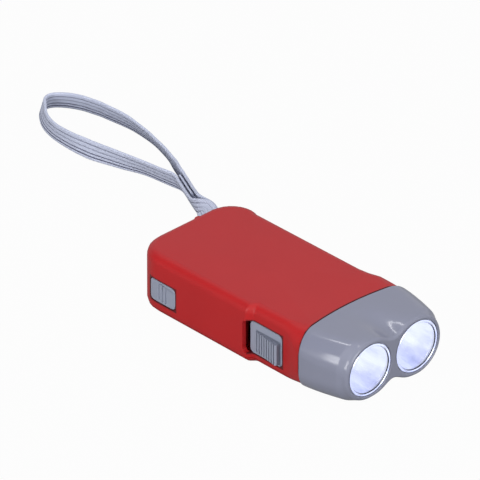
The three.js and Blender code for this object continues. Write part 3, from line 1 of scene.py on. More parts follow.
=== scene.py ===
# %% [markdown]
# # A squeeze-lever flashlight in Blender
# The real object is a hand torch: a soft-touch red case, a glossy grey head with two lamps, and a woven wrist strap.
# A lever on its far side drives a small generator through gears.
# The mechanical model is loaded first and stays as it is, and each step here gives one piece its finish or its form.

# %% Load the frame
import math

import bpy
import numpy as np
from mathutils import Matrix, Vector


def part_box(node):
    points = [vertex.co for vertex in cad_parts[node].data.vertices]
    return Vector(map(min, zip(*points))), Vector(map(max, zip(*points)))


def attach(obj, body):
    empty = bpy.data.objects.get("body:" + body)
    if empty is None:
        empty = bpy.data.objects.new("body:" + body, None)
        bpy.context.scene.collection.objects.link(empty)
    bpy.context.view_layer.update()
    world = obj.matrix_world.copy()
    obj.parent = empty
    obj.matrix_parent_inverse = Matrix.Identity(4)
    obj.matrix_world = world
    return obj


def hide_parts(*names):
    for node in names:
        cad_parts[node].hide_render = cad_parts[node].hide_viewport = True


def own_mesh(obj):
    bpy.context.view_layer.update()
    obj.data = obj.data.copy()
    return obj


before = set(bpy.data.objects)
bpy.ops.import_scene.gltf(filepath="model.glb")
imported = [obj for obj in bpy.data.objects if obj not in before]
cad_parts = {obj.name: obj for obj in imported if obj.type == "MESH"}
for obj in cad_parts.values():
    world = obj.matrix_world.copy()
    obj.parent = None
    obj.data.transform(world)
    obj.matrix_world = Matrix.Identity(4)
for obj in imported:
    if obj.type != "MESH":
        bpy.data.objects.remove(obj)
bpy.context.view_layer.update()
MM = 0.001
REAR = -52.1 * MM

# %% [markdown]
# ## The camera
# A long lens shows the torch with hardly any perspective, as a product photograph does.
# The camera is placed by two angles: its azimuth round the torch and its height above the table.
# The right and up directions of the picture follow from them, and the point in the picture's middle is given
# along these.

# %% Camera
AZIMUTH, ELEVATION = math.radians(46.38), math.radians(31.43)
IMAGE_SIDE = 480
PIXELS_PER_MM = 2.8478
LENS, SENSOR = 1000, 36
MIDDLE_RIGHT, MIDDLE_UP, MIDDLE_AHEAD = -18.037, 31.967, 0.4
NEAREST, FARTHEST = 0.1, 100
right = np.array([math.cos(AZIMUTH), math.sin(AZIMUTH), 0])
back = np.array([
    math.sin(AZIMUTH) * math.cos(ELEVATION),
    -math.cos(AZIMUTH) * math.cos(ELEVATION),
    math.sin(ELEVATION),
])
up = np.cross(back, right)
picture_middle = (right * MIDDLE_RIGHT + up * MIDDLE_UP + [MIDDLE_AHEAD, 0, 0]) * MM
distance = IMAGE_SIDE / PIXELS_PER_MM * MM * LENS / SENSOR

camera_data = bpy.data.cameras.new("camera")
camera_data.lens = LENS
camera_data.sensor_width = SENSOR
camera_data.clip_start, camera_data.clip_end = NEAREST, FARTHEST
camera = bpy.data.objects.new("camera", camera_data)
bpy.context.scene.collection.objects.link(camera)
camera.location = picture_middle + back * distance
camera.rotation_euler = (math.pi / 2 - ELEVATION, 0, AZIMUTH)
bpy.context.scene.camera = camera
bpy.context.scene.view_settings.view_transform = "Standard"
print("camera distance:", round(distance, 2), "m")

# %% [markdown]
# ## Shader maths
# A material is a small graph. Writing it as sums and products keeps it readable, so a socket is wrapped in a class
# whose operators add Math nodes. Every other node comes from one method, which sets it up and feeds its sockets.

# %% Sockets that act like numbers
class Signal:
    """An output socket of a material's graph, used in sums like a number."""

    def __init__(self, finish, socket):
        self.finish, self.socket = finish, socket

    def math(self, operation, first, second=None):
        values = {0: first} if second is None else {0: first, 1: second}
        return self.finish.node("ShaderNodeMath", {"operation": operation}, values)

    def __add__(self, other):
        return self.math("ADD", self, other)

    def __sub__(self, other):
        return self.math("SUBTRACT", self, other)

    def __rsub__(self, other):
        return self.math("SUBTRACT", other, self)

    def __mul__(self, other):
        return self.math("MULTIPLY", self, other)

    def __pow__(self, other):
        return self.math("POWER", self, other)

    __radd__, __rmul__ = __add__, __mul__

    def sin(self):
        return self.math("SINE", self)

    def abs(self):
        return self.math("ABSOLUTE", self)

    def above(self, low, high):
        """0 below low, 1 above high and a smooth step between."""
        settings = {"interpolation_type": "SMOOTHSTEP"}
        return self.finish.node("ShaderNodeMapRange", settings, {"Value": self, "From Min": low, "From Max": high})


class Finish:
    """A material under construction."""

    def __init__(self, name):
        self.material = bpy.data.materials.new(name)
        self.material.use_nodes = True
        self.tree = self.material.node_tree
        self.tree.nodes.clear()

    def node(self, kind, settings=None, sockets=None, output=0):
        """Adds a node: first its settings, then the values or links of its sockets."""
        made = self.tree.nodes.new(kind)
        for key, value in (settings or {}).items():
            setattr(made, key, value)
        for key, value in (sockets or {}).items():
            if isinstance(value, Signal):
                self.tree.links.new(value.socket, made.inputs[key])
            else:
                made.inputs[key].default_value = value
        return Signal(self, made.outputs[output]) if len(made.outputs) else made

    def place(self, scale=(1, 1, 1)):
        """The place of a point on the piece, in metres, scaled along each axis."""
        spot = self.node("ShaderNodeTexCoord", output="Object")
        return self.node("ShaderNodeMapping", None, {"Vector": spot, "Scale": scale})

    def axis(self, name, source="Object"):
        """One coordinate of a point on the piece, or on its own map."""
        spot = self.node("ShaderNodeTexCoord", output=source)
        return self.node("ShaderNodeSeparateXYZ", None, {0: spot}, output=name)

    def noise(self, frequency, detail=2.0, spread=0.5, scale=(1, 1, 1)):
        sockets = {"Vector": self.place(scale), "Scale": frequency, "Detail": detail, "Roughness": spread}
        return self.node("ShaderNodeTexNoise", None, sockets)

    def blend(self, share, first, second):
        """A colour between two others."""
        sockets = {"Factor": share, 6: first, 7: second}
        return self.node("ShaderNodeMix", {"data_type": "RGBA"}, sockets, output=2)

    def bump(self, height, distance):
        return self.node("ShaderNodeBump", None, {"Height": height, "Distance": distance, "Strength": 1.0})

    def surface(self, **sockets):
        """Closes the graph with one Principled shader."""
        named = {key.replace("_", " "): value for key, value in sockets.items()}
        shader = self.node("ShaderNodeBsdfPrincipled", None, named)
        return self.close(shader)

    def close(self, shader):
        self.node("ShaderNodeOutputMaterial", {"target": "ALL"}, {"Surface": shader})
        return self.material


def shade(red, green, blue):
    """A colour given as screen values from 0 to 255, as the shader's linear values."""
    values = np.array([red, green, blue]) / 255
    linear = np.where(values <= 0.04045, values / 12.92, ((values + 0.055) / 1.055) ** 2.4)
    return (*linear.tolist(), 1)


def step(value, start, end):
    """A smooth step from 0 at start to 1 at end."""
    share = np.clip((value - start) / (end - start), 0, 1)
    return share * share * (3 - 2 * share)


print("shader helpers ready")

# %% [markdown]
# ## The table
# The torch lies on a white table, which is drawn near white for the camera alone and keeps the torch's shadow.
# Mirrors and clear plastic show it darker. It lies a hair below the torch's flat underside, so that the two faces
# don't share one plane.

# %% Table
def grid_faces(rows, columns, closed=False, looped=False):
    """The corner numbers of the quads of a rows by columns grid, joined round its columns or also round its rows."""
    spans = np.arange(rows if looped else rows - 1), np.arange(columns if closed else columns - 1)
    row, column = np.meshgrid(*spans, indexing="ij")
    later, beside = (row + 1) % rows * columns, (column + 1) % columns
    row = row * columns
    return np.stack([row + column, row + beside, later + beside, later + column]).reshape(4, -1).T


def add_mesh(name, points, faces, finish):
    """A new object at the origin whose mesh has these points and faces."""
    mesh = bpy.data.meshes.new(name)
    mesh.from_pydata(np.asarray(points).reshape(-1, 3).tolist(), [], [tuple(f) for f in faces])
    mesh.materials.append(finish)
    made = bpy.data.objects.new(name, mesh)
    bpy.context.scene.collection.objects.link(made)
    return made


TABLE_HALF, TABLE_DROP = 3.0, 0.02 * MM
CAMERA_SHARE, MIRROR_SHARE, THROUGH_SHARE = 0.97, 0.2, 0.2


def table_finish():
    finish = Finish("table_white")
    cloth = finish.node("ShaderNodeBsdfDiffuse", None, {"Color": (0.25, 0.25, 0.25, 1)})
    glow = finish.node("ShaderNodeEmission", None, {"Color": (1, 1, 1, 1), "Strength": 1.0})
    seen = finish.node("ShaderNodeLightPath", output="Is Camera Ray")
    mirrored = finish.node("ShaderNodeLightPath", output="Is Glossy Ray")
    through = finish.node("ShaderNodeLightPath", output="Is Transmission Ray")
    share = seen * CAMERA_SHARE + mirrored * MIRROR_SHARE + through * THROUGH_SHARE
    return finish.close(finish.node("ShaderNodeMixShader", None, {0: share, 1: cloth, 2: glow}))


table_sides = (-TABLE_HALF, TABLE_HALF)
table_points = [[x, y, -TABLE_DROP] for x in table_sides for y in table_sides]
table = add_mesh("table", table_points, [(0, 2, 3, 1)], table_finish())
print("table ready")

# %% [markdown]
# ## The light
# The light is wide and soft, a little brighter from the front and the near side than from behind.
# A black flag hangs high at the rear left. The rounded edges mirror it, so they keep the full depth of their colour.
# Softboxes are what a glossy head shows as bright patches: one low at the torch's near side, one before its lamps
# and a small one overhead.

# %% World and lamps
BRIGHT_SIDE, FLAG_SIDE = (0.6, -0.8, 0), (-0.64, -0.52, 0.57)
FRONT_TONE, REAR_TONE, FLAG_TONE = (1.0, 1.0, 1.0, 1), (0.76, 0.76, 0.79, 1), (0.1, 0.1, 0.11, 1)
LAMP_AIM = (0, 0, 0.01)
world = bpy.data.worlds.new("studio")
bpy.context.scene.world = world
world.use_nodes = True


class Sky(Finish):
    """The world's graph, built as a material's is."""

    def __init__(self):
        self.tree = world.node_tree
        self.tree.nodes.clear()

    def toward(self, side):
        """How far a ray points to a side: the cosine of the angle between them."""
        bearing = self.node("ShaderNodeTexCoord", output="Generated")
        settings = {"operation": "DOT_PRODUCT"}
        return self.node("ShaderNodeVectorMath", settings, {0: bearing, 1: side}, output="Value")


sky = Sky()
tone = sky.blend(sky.toward(BRIGHT_SIDE).above(-0.2, 0.7), REAR_TONE, FRONT_TONE)
tone = sky.blend(sky.toward(FLAG_SIDE).above(0.76, 0.94), tone, FLAG_TONE)
lit = sky.node("ShaderNodeBackground", None, {"Color": tone})
seen = sky.node("ShaderNodeBackground", None, {"Color": (1, 1, 1, 1)})
camera_ray = sky.node("ShaderNodeLightPath", output="Is Camera Ray")
mixed = sky.node("ShaderNodeMixShader", None, {0: camera_ray, 1: lit, 2: seen})
sky.node("ShaderNodeOutputWorld", None, {"Surface": mixed})


def softbox(name, place, size, power):
    """An area lamp at a place, of a width and height in metres, facing the torch."""
    data = bpy.data.lights.new(name, "AREA")
    data.shape, data.size, data.size_y, data.energy = "RECTANGLE", *size, power
    lamp = bpy.data.objects.new(name, data)
    bpy.context.scene.collection.objects.link(lamp)
    lamp.location = place
    facing = (np.array(LAMP_AIM) - np.array(place)).tolist()
    lamp.rotation_euler = Vector(facing).to_track_quat("-Z", "Y").to_euler()


softbox("key_softbox", (0.03, -0.82, 0.3), (0.4, 0.42), 3.4)
softbox("front_softbox", (0.85, -0.15, 0.3), (0.5, 0.4), 2.6)
softbox("overhead_strip", (-0.22, 0.0, 0.88), (0.06, 0.4), 0.7)
print("world and lamps ready")

# %% [markdown]
# ## Finishes of the case
# The red case is moulded plastic with a soft-touch coat: matt, with a fine grain that only shows at grazing angles.
# The head is the same grey plastic as the buttons, but polished, so it mirrors the softboxes.
# Each finish is one base colour with small noise in colour, roughness and height.
# Shade is painted into the colour of the narrow gaps round the buttons and at the seam, and at the upper step and
# front end of the knob's thumb pad.
# Their places are given in mm from the torch's rear end.

# %% Case, head and button finishes
GRAIN = 0.3 * MM


def plastic(name, colour, dark, roughness, grain, depth, gloss=0.5):
    """Moulded plastic: a colour that drifts slightly, over a grain of a size and depth in metres."""
    finish = Finish(name)
    drift = finish.noise(60, 3.0)
    fine = finish.noise(1 / grain, 2.0)
    return finish.surface(
        Base_Color=finish.blend(drift * 0.6 + fine * 0.2, colour, dark),
        Roughness=fine * 0.08 + roughness,
        Normal=finish.bump(fine, depth),
        Specular_IOR_Level=gloss,
    )


SEAM_CENTRE, SEAM_RADIUS = 190.3, 109.575
SWITCH_WINDOW, LOCK_WINDOW = (65.5, 10.95, 7.95, 6.6), (14.75, 9.8, 6.75, 4.5)
PAD = (60.3, 72.2, 5.7, 14.0)


def gap_shadow(finish):
    """1 in the narrow gaps, where little light comes: beside the seam, whose arc has one radius round one centre,
    and in the two windows of the near side, as the larger of the distances across and up.
    A window has its middle, its height, half its width and half its height."""
    x, y, z = (finish.axis(name) for name in "XYZ")
    ahead = x - (SEAM_CENTRE * MM + REAR)
    seam = (ahead * ahead + y * y) ** 0.5 - SEAM_RADIUS * MM
    shadow = 1 - seam.abs().above(0.2 * MM, 0.75 * MM)
    near_side = (y * -1).above(15 * MM, 16 * MM)
    for middle, height, half_width, half_height in (SWITCH_WINDOW, LOCK_WINDOW):
        across = (x - (middle * MM + REAR)).abs() - half_width * MM
        upward = (z - height * MM).abs() - half_height * MM
        inside = 1 - across.math("MAXIMUM", across, upward).above(0.1 * MM, 0.75 * MM)
        shadow = shadow.math("MAXIMUM", shadow, inside * near_side)
    return shadow


def case_finish():
    """Soft-touch red over moulded plastic: a colour that drifts slightly, a fine matt grain, and painted shade in the
    gaps and beside the seam.
    """
    finish = Finish("red_soft_touch")
    drift, fine = finish.noise(60, 3.0), finish.noise(1 / GRAIN, 2.0)
    red = finish.blend(drift * 0.6 + fine * 0.2, shade(178, 26, 29), shade(164, 21, 25))
    return finish.surface(
        # painted shade in the narrow gaps round the buttons and beside the seam
        Base_Color=finish.blend(gap_shadow(finish) * 0.85, red, shade(60, 8, 14)),
        Roughness=fine * 0.08 + 0.42,
        Normal=finish.bump(fine, 0.01 * MM),
        Specular_IOR_Level=0.35,
    )


def knob_finish():
    """The buttons' grey, with the shade over the thumb pad's upper step and along its front end.
    The pad reaches from its rear to its front, and from its low to its high edge."""
    finish = Finish("knob_satin")
    x, y, z = (finish.axis(name) for name in "XYZ")
    rear, front, low, high = PAD
    fine = finish.noise(1 / GRAIN, 2.0)
    ahead, upward = x - (REAR + rear * MM), z - low * MM
    long, tall = (front - rear) * MM, (high - low) * MM
    within = ahead.above(-0.2 * MM, 0.2 * MM) * (1 - ahead.above(long + 0.2 * MM, long + 0.5 * MM))
    painted_step_shade = (1 - (upward - (tall + 0.3 * MM)).abs().above(0.2 * MM, 0.5 * MM)) * within
    painted_end_shade = 1 - (ahead - (long + 0.15 * MM)).abs().above(0.15 * MM, 0.45 * MM)
    painted_end_shade = painted_end_shade * (1 - upward.above(tall, tall + 0.5 * MM))
    shadow = painted_step_shade.math("MAXIMUM", painted_step_shade, painted_end_shade)
    grey = finish.blend(fine * 0.3, shade(145, 151, 168), shade(139, 145, 163))
    return finish.surface(
        # painted shade over the thumb pad's upper step and along its front end
        Base_Color=finish.blend(shadow * 0.6, grey, shade(62, 66, 82)),
        Roughness=fine * 0.08 + 0.3,
        Normal=finish.bump(fine, 0.006 * MM),
    )


red_case, knob_grey = case_finish(), knob_finish()
grey_gloss = plastic("grey_gloss", shade(131, 134, 151), shade(125, 128, 146), 0.1, 4 * MM, 0.004 * MM)
grey_satin = plastic("grey_satin", shade(145, 151, 168), shade(139, 145, 163), 0.3, GRAIN, 0.006 * MM)
black_plastic = plastic("black_plastic", shade(34, 34, 38), shade(26, 26, 30), 0.4, 0.4 * MM, 0.01 * MM)
nylon = plastic("gear_nylon", shade(232, 229, 220), shade(222, 217, 203), 0.38, 0.6 * MM, 0.008 * MM)
lead_red = plastic("lead_red", shade(170, 30, 28), shade(150, 22, 22), 0.35, 1 * MM, 0.004 * MM)
print("plastic finishes ready")

# %% [markdown]
# ## Finishes of the inside
# Steel carries marks drawn along its length. The stator's layers and the coil's turns are too thin to build, so they
# are a wave in colour and relief. The boards have green mask over tracks.

# %% Metal and board finishes
def metal(name, colour, dark, roughness, stretch=(1, 1, 1), metallic=1.0):
    """Metal with fine drawn or turned marks: noise stretched along one direction."""
    finish = Finish(name)
    marks = finish.noise(900, 3.0, scale=stretch)
    return finish.surface(
        Base_Color=finish.blend(marks, colour, dark),
        Metallic=metallic,
        Roughness=marks * 0.2 + roughness,
        Normal=finish.bump(marks, 0.01 * MM),
    )


steel = metal("bright_steel", shade(205, 207, 210), shade(170, 172, 176), 0.2, (1, 1, 0.05))
ferrite = metal("ferrite", shade(58, 58, 62), shade(44, 44, 48), 0.55, metallic=0.2)


def striped(name, colour, dark, pitch, axis, roughness, metallic):
    """Thin layers or turns: a wave of a pitch in metres along one axis, as colour and as relief."""
    finish = Finish(name)
    wave = (finish.axis(axis) * (2 * math.pi / pitch)).sin() * 0.5 + 0.5
    return finish.surface(
        Base_Color=finish.blend(wave, dark, colour),
        Metallic=metallic,
        Roughness=roughness,
        Normal=finish.bump(wave, pitch * 0.2),
    )


core_iron = striped("core_laminations", shade(150, 152, 156), shade(88, 90, 94), 0.5 * MM, "Z", 0.4, 0.9)
copper = striped("copper_winding", shade(196, 112, 62), shade(110, 52, 24), 0.28 * MM, "X", 0.3, 0.9)


def board_finish():
    """Green solder mask over tracks that show as a slightly raised, lighter pattern."""
    finish = Finish("board_green")
    sockets = {"Vector": finish.place(), "Scale": 420.0, "Randomness": 0.65}
    cells = finish.node("ShaderNodeTexVoronoi", {"distance": "MANHATTAN", "feature": "F1"}, sockets)
    track = cells.above(0.28, 0.34) * (1 - cells.above(0.4, 0.46))
    return finish.surface(
        Base_Color=finish.blend(track, shade(22, 92, 52), shade(64, 142, 84)),
        Roughness=0.3,
        Normal=finish.bump(track, 0.03 * MM),
    )


board_green = board_finish()
print("metal and board finishes ready")

# %% [markdown]
# ## Smooth edges on the mechanical nodes
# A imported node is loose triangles, so its rounded edges show as facets.
# Modifiers mend that without touching the mesh: one joins the corners and marks the sharp edges by their angle,
# and one weighs the normals by face area, which keeps the large faces flat and shades the roundings evenly.
# Between the two, a third rounds the edges of the pieces that a hand would feel.

# %% Edge smoothing
SHARP_ANGLE = math.radians(38)
JOIN_DISTANCE = 0.002 * MM


def smoothing_group():
    """A geometry graph: join close corners, shade smooth, and keep edges sharp past an angle."""
    group = bpy.data.node_groups.new("join_and_smooth", "GeometryNodeTree")
    group.interface.new_socket("Geometry", in_out="INPUT", socket_type="NodeSocketGeometry")
    group.interface.new_socket("Geometry", in_out="OUTPUT", socket_type="NodeSocketGeometry")
    add = group.nodes.new
    start, end = add("NodeGroupInput"), add("NodeGroupOutput")
    joined = add("GeometryNodeMergeByDistance")
    smooth, creased = add("GeometryNodeSetShadeSmooth"), add("GeometryNodeSetShadeSmooth")
    angle, compare = add("GeometryNodeInputMeshEdgeAngle"), add("FunctionNodeCompare")
    joined.inputs["Distance"].default_value = JOIN_DISTANCE
    smooth.domain, creased.domain = "FACE", "EDGE"
    creased.inputs["Shade Smooth"].default_value = False
    compare.operation = "GREATER_THAN"
    compare.inputs[1].default_value = SHARP_ANGLE
    link = group.links.new
    link(start.outputs[0], joined.inputs["Geometry"])
    link(joined.outputs[0], smooth.inputs["Geometry"])
    link(smooth.outputs[0], creased.inputs["Geometry"])
    link(angle.outputs["Unsigned Angle"], compare.inputs[0])
    link(compare.outputs[0], creased.inputs["Selection"])
    link(creased.outputs[0], end.inputs[0])
    return group


smoothing = smoothing_group()


def dress(names, finish, edge=0.0):
    """Gives mechanical nodes a finish and even shading, and a small rounding where an edge is seen."""
    for name in names:
        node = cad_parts[name]
        node.data.materials.clear()
        node.data.materials.append(finish)
        node.modifiers.new("join_and_smooth", "NODES").node_group = smoothing
        if edge:
            rounding = node.modifiers.new("soft_edges", "BEVEL")
            rounding.width, rounding.segments, rounding.angle_limit = edge, 2, SHARP_ANGLE
        node.modifiers.new("weighted_normals", "WEIGHTED_NORMAL").keep_sharp = True


dress(["upper_shell", "bottom_cover", "squeeze_lever"], red_case, 0.12 * MM)
dress(["switch_knob"], knob_grey)
dress(["lock_button"], grey_satin, 0.22 * MM)
dress(["head_bezel"], grey_gloss)
dress(["sector_gear", "first_gear", "second_gear", "coil_bobbin"], nylon)
dress(["rotor", "gear_cover", "driver_chip", "switch_body", "switch_slider", "lock_bar"], black_plastic)
dress(["pivot_pin", "lever_spring", "first_axle", "second_axle", "rotor_axle"], steel)
dress(["coin_cell", "cell_clip", "strap_pin"], steel)
dress([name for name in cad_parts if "screw" in name], steel)
dress(["ring_magnet"], ferrite)
dress(["stator_core"], core_iron)
dress(["coil_winding"], copper)
dress(["led_board", "main_board"], board_green)
dress(["lamp_lead_1", "lamp_lead_2", "coil_lead_1", "coil_lead_2"], lead_red)
print("nodes dressed:", len(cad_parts))

# %% [markdown]
# ## The two lamps
# Behind each opening stands a metallised bowl with a light-emitting diode in its throat, under a clear plastic plug.
# The plug bends the view: the bowl looks shallower than it is, and the plug's own wall shines with its light.
# All three are turned forms, so each is one profile spun round the lamp's axis. A profile's points are radii and
# distances from the torch's rear end in mm, which are those of the mechanical parts.

# %% Turned forms
LAMP_SIDE, LAMP_HEIGHT, LATHE_STEPS = 11.35, 12.0, 128


def solid_faces(grid, looped=False):
    """The quads of a grid joined round its columns, with a cap on its first and last rows unless the rows join too."""
    rows, columns = grid.shape[:2]
    faces = grid_faces(rows, columns, closed=True, looped=looped).tolist()
    if not looped:
        faces += [list(reversed(range(columns))), [i + (rows - 1) * columns for i in range(columns)]]
    return faces


def closed_solid(name, grid, finish, looped=False):
    """A solid with such faces, smoothed, which moves with the housing."""
    made = add_mesh(name, grid, solid_faces(grid, looped), finish)
    made.modifiers.new("join_and_smooth", "NODES").node_group = smoothing
    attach(made, "housing")
    return made


def lathe_grid(profile, side):
    """A profile of radius and distance from the rear, in mm, spun round a lamp's axis:
    x = distance, y = side + radius times cosine, z = height + radius times sine."""
    radius, distance = np.array(profile, float).T[:, :, None]
    angle = np.linspace(0, 2 * math.pi, LATHE_STEPS, endpoint=False)
    parts = distance + angle * 0, side * LAMP_SIDE + radius * np.cos(angle), LAMP_HEIGHT + radius * np.sin(angle)
    return np.stack(parts, axis=-1) * MM + [REAR, 0, 0]


def lathe(name, profile, side, finish, looped=False):
    """One lamp's turned piece: side is -1 for the near lamp and 1 for the far one."""
    return closed_solid(name, lathe_grid(profile, side), finish, looped)


def arc(centre, radius, start, end, count=9):
    """Points of a circle's arc in a profile, its angles in degrees from the outward direction to the front."""
    turn = np.radians(np.linspace(start, end, count))
    return [[centre[0] + radius * math.cos(a), centre[1] + radius * math.sin(a)] for a in turn]


BOWL_BACK, BOWL_FRONT, THROAT, MOUTH, WALL = 89.3, 100.3, 3.1, 9.9, 0.8
POCKET, AXIS = 10.7, 0.01


def bowl(share, extra=0.0):
    """The paraboloid: its radius squared grows evenly from the throat to the mouth."""
    radius = math.sqrt(THROAT ** 2 + (MOUTH ** 2 - THROAT ** 2) * share)
    return [radius + extra, BOWL_BACK + (BOWL_FRONT - BOWL_BACK) * share]


bowl_profile = [bowl(share, WALL) for share in np.linspace(0, 0.8, 33)]
bowl_profile += [[10.2, 99.4], [POCKET, 99.4], [POCKET, BOWL_FRONT], [10.0, BOWL_FRONT], [9.93, 100.27]]
bowl_profile += [bowl(share) for share in np.linspace(0.99, 0, 50)]
plug_profile = [[AXIS, 100.45], *arc((10.55, 100.6), 0.15, -90, 0, 5), [POCKET, 101.45], [10.05, 101.45]]
plug_profile += [*arc((9.7, 103.45), 0.35, 0, 90), [9.2, 103.8], *arc((9.2, 103.3), 0.35, 90, 150, 5)[1:]]
plug_profile += [[8.7, 103.5], [AXIS, 103.5]]
diode_profile = [[AXIS, 89.15], [2.8, 89.15], [2.8, 90.15], [2.5, 90.15], [2.5, 94.0]]
diode_profile += arc((0, 94.05), 2.5, 0, 89, 16)
print("profiles:", len(bowl_profile), len(plug_profile), len(diode_profile), "points")

# %% [markdown]
# The diode shines by itself, as a lit lamp does in a bright room. The bowl's glow is painted light: it stands in
# for the diode's light mirrored in the bowl. The plug is real glass in the shader's sense: it bends the light and
# mirrors it from inside.

# %% Lamp finishes
CLEAR_TINT, CLEAR_IOR = (0.985, 0.99, 1.0, 1), 1.49


def mirror_finish():
    """Vacuum-metallised plastic with painted light: an emission that stands in for the diode's light mirrored in the
    bowl, white across the middle and bluer above and below, with streaks that run down the bowl."""
    finish = Finish("reflector_mirror")
    height = (finish.axis("Z") - LAMP_HEIGHT * MM).abs()
    streak = finish.noise(260, 4.0, 0.6, scale=(0.25, 1, 1))
    tone = height.above(2 * MM, 9.5 * MM) * 0.5 + (streak - 0.42) * 1.8
    return finish.surface(
        Base_Color=shade(150, 156, 185),
        Metallic=1.0,
        Roughness=streak * 0.1 + 0.2,
        # painted light: the bowl's glow stands in for the diode's light mirrored in it
        Emission_Color=finish.blend(tone, shade(238, 242, 255), shade(150, 157, 202)),
        Emission_Strength=0.85,
        Normal=finish.bump(streak, 0.05 * MM),
    )


def lamp_finish():
    """The lit diode: bright all over, a little bluer at its foot."""
    finish = Finish("lamp_lit")
    foot = finish.axis("X").above(REAR + 90 * MM, REAR + 95 * MM)
    return finish.surface(
        Base_Color=shade(245, 248, 255),
        Roughness=0.1,
        Emission_Color=finish.blend(foot, shade(205, 218, 255), shade(250, 252, 255)),
        Emission_Strength=1.6,
    )


def clear_finish():
    """Clear moulded plastic that really bends the light, with faint waves from the mould."""
    finish = Finish("clear_plug")
    waves = finish.noise(180, 2.0)
    sockets = {"Color": CLEAR_TINT, "Roughness": 0.0, "IOR": CLEAR_IOR, "Normal": finish.bump(waves, 0.02 * MM)}
    return finish.close(finish.node("ShaderNodeBsdfGlass", None, sockets))


lit, clear, mirror = lamp_finish(), clear_finish(), mirror_finish()
for name, side in (("near", -1), ("far", 1)):
    reflector = lathe(f"bowl_{name}", bowl_profile, side, mirror, looped=True)
    diode = lathe(f"diode_{name}", diode_profile, side, lit)
    plug = lathe(f"plug_{name}", plug_profile, side, clear)
    roles = (reflector, "reflector", "reflector"), (diode, "led", "lamp"), (plug, "lens", "clear")
    for piece, node, slot in roles:
        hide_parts(f"{node}_{name}")
print("lamps built")

# %% [markdown]
# ## The head
# The head is one glossy moulding. Its section changes from a rounded rectangle at the seam to two joined rings at
# the front. Its whole outside is one formula of the distance from the rear and of the place round the section, so it
# is a fine grid here, which keeps its outline round. The two lamp openings are bored through it.

# %% Head form
HEAD_HALF_WIDTH, HEAD_TAPER, BODY_HALF = 27.09, 3.9, 11.85
HEAD_REAR, SWELL_START, FRONT = 84, 80.6, 104.2
HEAD_LENGTH = FRONT - HEAD_REAR
RIM_RADIUS, RIM_START, RIM_ROUND = 11.7, 99.7, 1.3
CORNER, CORNER_GROWTH, LEAST_CORNER = 8.5, 1.9, 1.5
VALLEY_DEPTH, VALLEY_WIDTH = 3.2, 5.2
HEAD_WALL, CAP_DISTANCE, SEAM_EDGE = 3.2, 89.45, 0.3
ARC_POINTS, FLAT_POINTS, TALL_POINTS = 28, 97, 13


def mix(first, second, share):
    """The first value at share 0 and the second at share 1."""
    return first + (second - first) * share


def section_places():
    """Round the section, counter-clockwise from the front: which side's corner a point belongs to, its angle,
    and whether it belongs to the upper or the lower corners."""
    columns = []
    for start, side, level in ((0, 1, 1), (90, -1, 1), (180, -1, -1), (270, 1, -1)):
        angles = np.linspace(start, start + 90, ARC_POINTS)
        columns.append(np.stack([np.full(ARC_POINTS, side), angles, np.full(ARC_POINTS, level)]))
        crosswise = start in (0, 180)
        run = np.linspace(1, -1, FLAT_POINTS if crosswise else TALL_POINTS)[1:-1]
        fixed = np.full(len(run), start + 90.0)
        if crosswise:
            columns.append(np.stack([run * side, fixed, np.full(len(run), level)]))
        else:
            columns.append(np.stack([np.full(len(run), side), fixed, run * level]))
    side, angle, level = np.concatenate(columns, axis=1)
    return side, np.radians(angle), level


SIDE, ANGLE, LEVEL = section_places()


def head_point(d, margin):
    """y and z of the head's outside at distance d, moved in by a margin: a corner of radius r round a box,
    y = side (w - r) + r cos a, z = middle + level (h - r) + r sin a, less the valley between the lamps."""
    share = np.maximum((d - HEAD_REAR) / HEAD_LENGTH, 0)
    to_rim, rise = step(d, RIM_START, FRONT), step(d, SWELL_START, RIM_START)
    middle = mix(BODY_HALF, LAMP_HEIGHT, rise)
    half_width = mix(HEAD_HALF_WIDTH - HEAD_TAPER * share ** 1.5, LAMP_SIDE + RIM_RADIUS, to_rim) - margin
    half_height = mix(middle, RIM_RADIUS, to_rim)
    corner = np.minimum(mix(CORNER + CORNER_GROWTH * share, RIM_RADIUS, to_rim), half_height - 0.02)
    corner = np.maximum(corner - margin, LEAST_CORNER)
    half_height = half_height - margin
    y = SIDE * (half_width - corner) + corner * np.cos(ANGLE)
    valley = VALLEY_DEPTH * step(d, HEAD_REAR, FRONT) * np.exp(-((y / VALLEY_WIDTH) ** 2))
    up_share = np.maximum(LEVEL * np.sin(ANGLE), 0) * np.sign(LEVEL)
    return y, middle + LEVEL * (half_height - corner) + corner * np.sin(ANGLE) - valley * up_share


def head_grid():
    """Rows from the inside cap back along the inner wall to the seam, round the seam's edge, forward along
    the outside and over the rim's rounding to the front. The seam is the case's arc, so its distance and the
    head's width there depend on each other, and a few rounds settle both."""
    seam = np.full(SIDE.shape, 82.0)
    for _ in range(3):
        seam = SEAM_CENTRE - np.sqrt(SEAM_RADIUS ** 2 - head_point(seam, 0)[0] ** 2)
    rows = [(mix(CAP_DISTANCE, seam, t), HEAD_WALL) for t in np.linspace(0, 1, 9)]
    turns = np.linspace(0, math.pi / 2, 6)
    rows += [(seam + SEAM_EDGE * (1 - math.cos(t)), SEAM_EDGE * (1 - math.sin(t))) for t in turns]
    rows += [(mix(seam + SEAM_EDGE, FRONT - RIM_ROUND, t), 0) for t in np.linspace(0, 1, 120)[1:]]
    turns = np.linspace(0, math.pi / 2, 12)[1:]
    rows += [(seam * 0 + FRONT - RIM_ROUND * (1 - math.sin(t)), RIM_ROUND * (1 - math.cos(t))) for t in turns]
    points = [np.stack([d + REAR / MM, *head_point(d, margin)], axis=-1) for d, margin in rows]
    return np.stack(points) * MM


def bore_profile():
    """The plug's pocket from behind, then the opening with a small flare at the front."""
    pocket = [[AXIS, 87.0], [10.9, 87.0], [10.9, 101.6], [10.2, 101.6], [10.2, 103.7]]
    return [*pocket, *arc((10.7, 103.7), 0.5, 180, 90, 8)[1:], [10.7, 106], [AXIS, 106]]


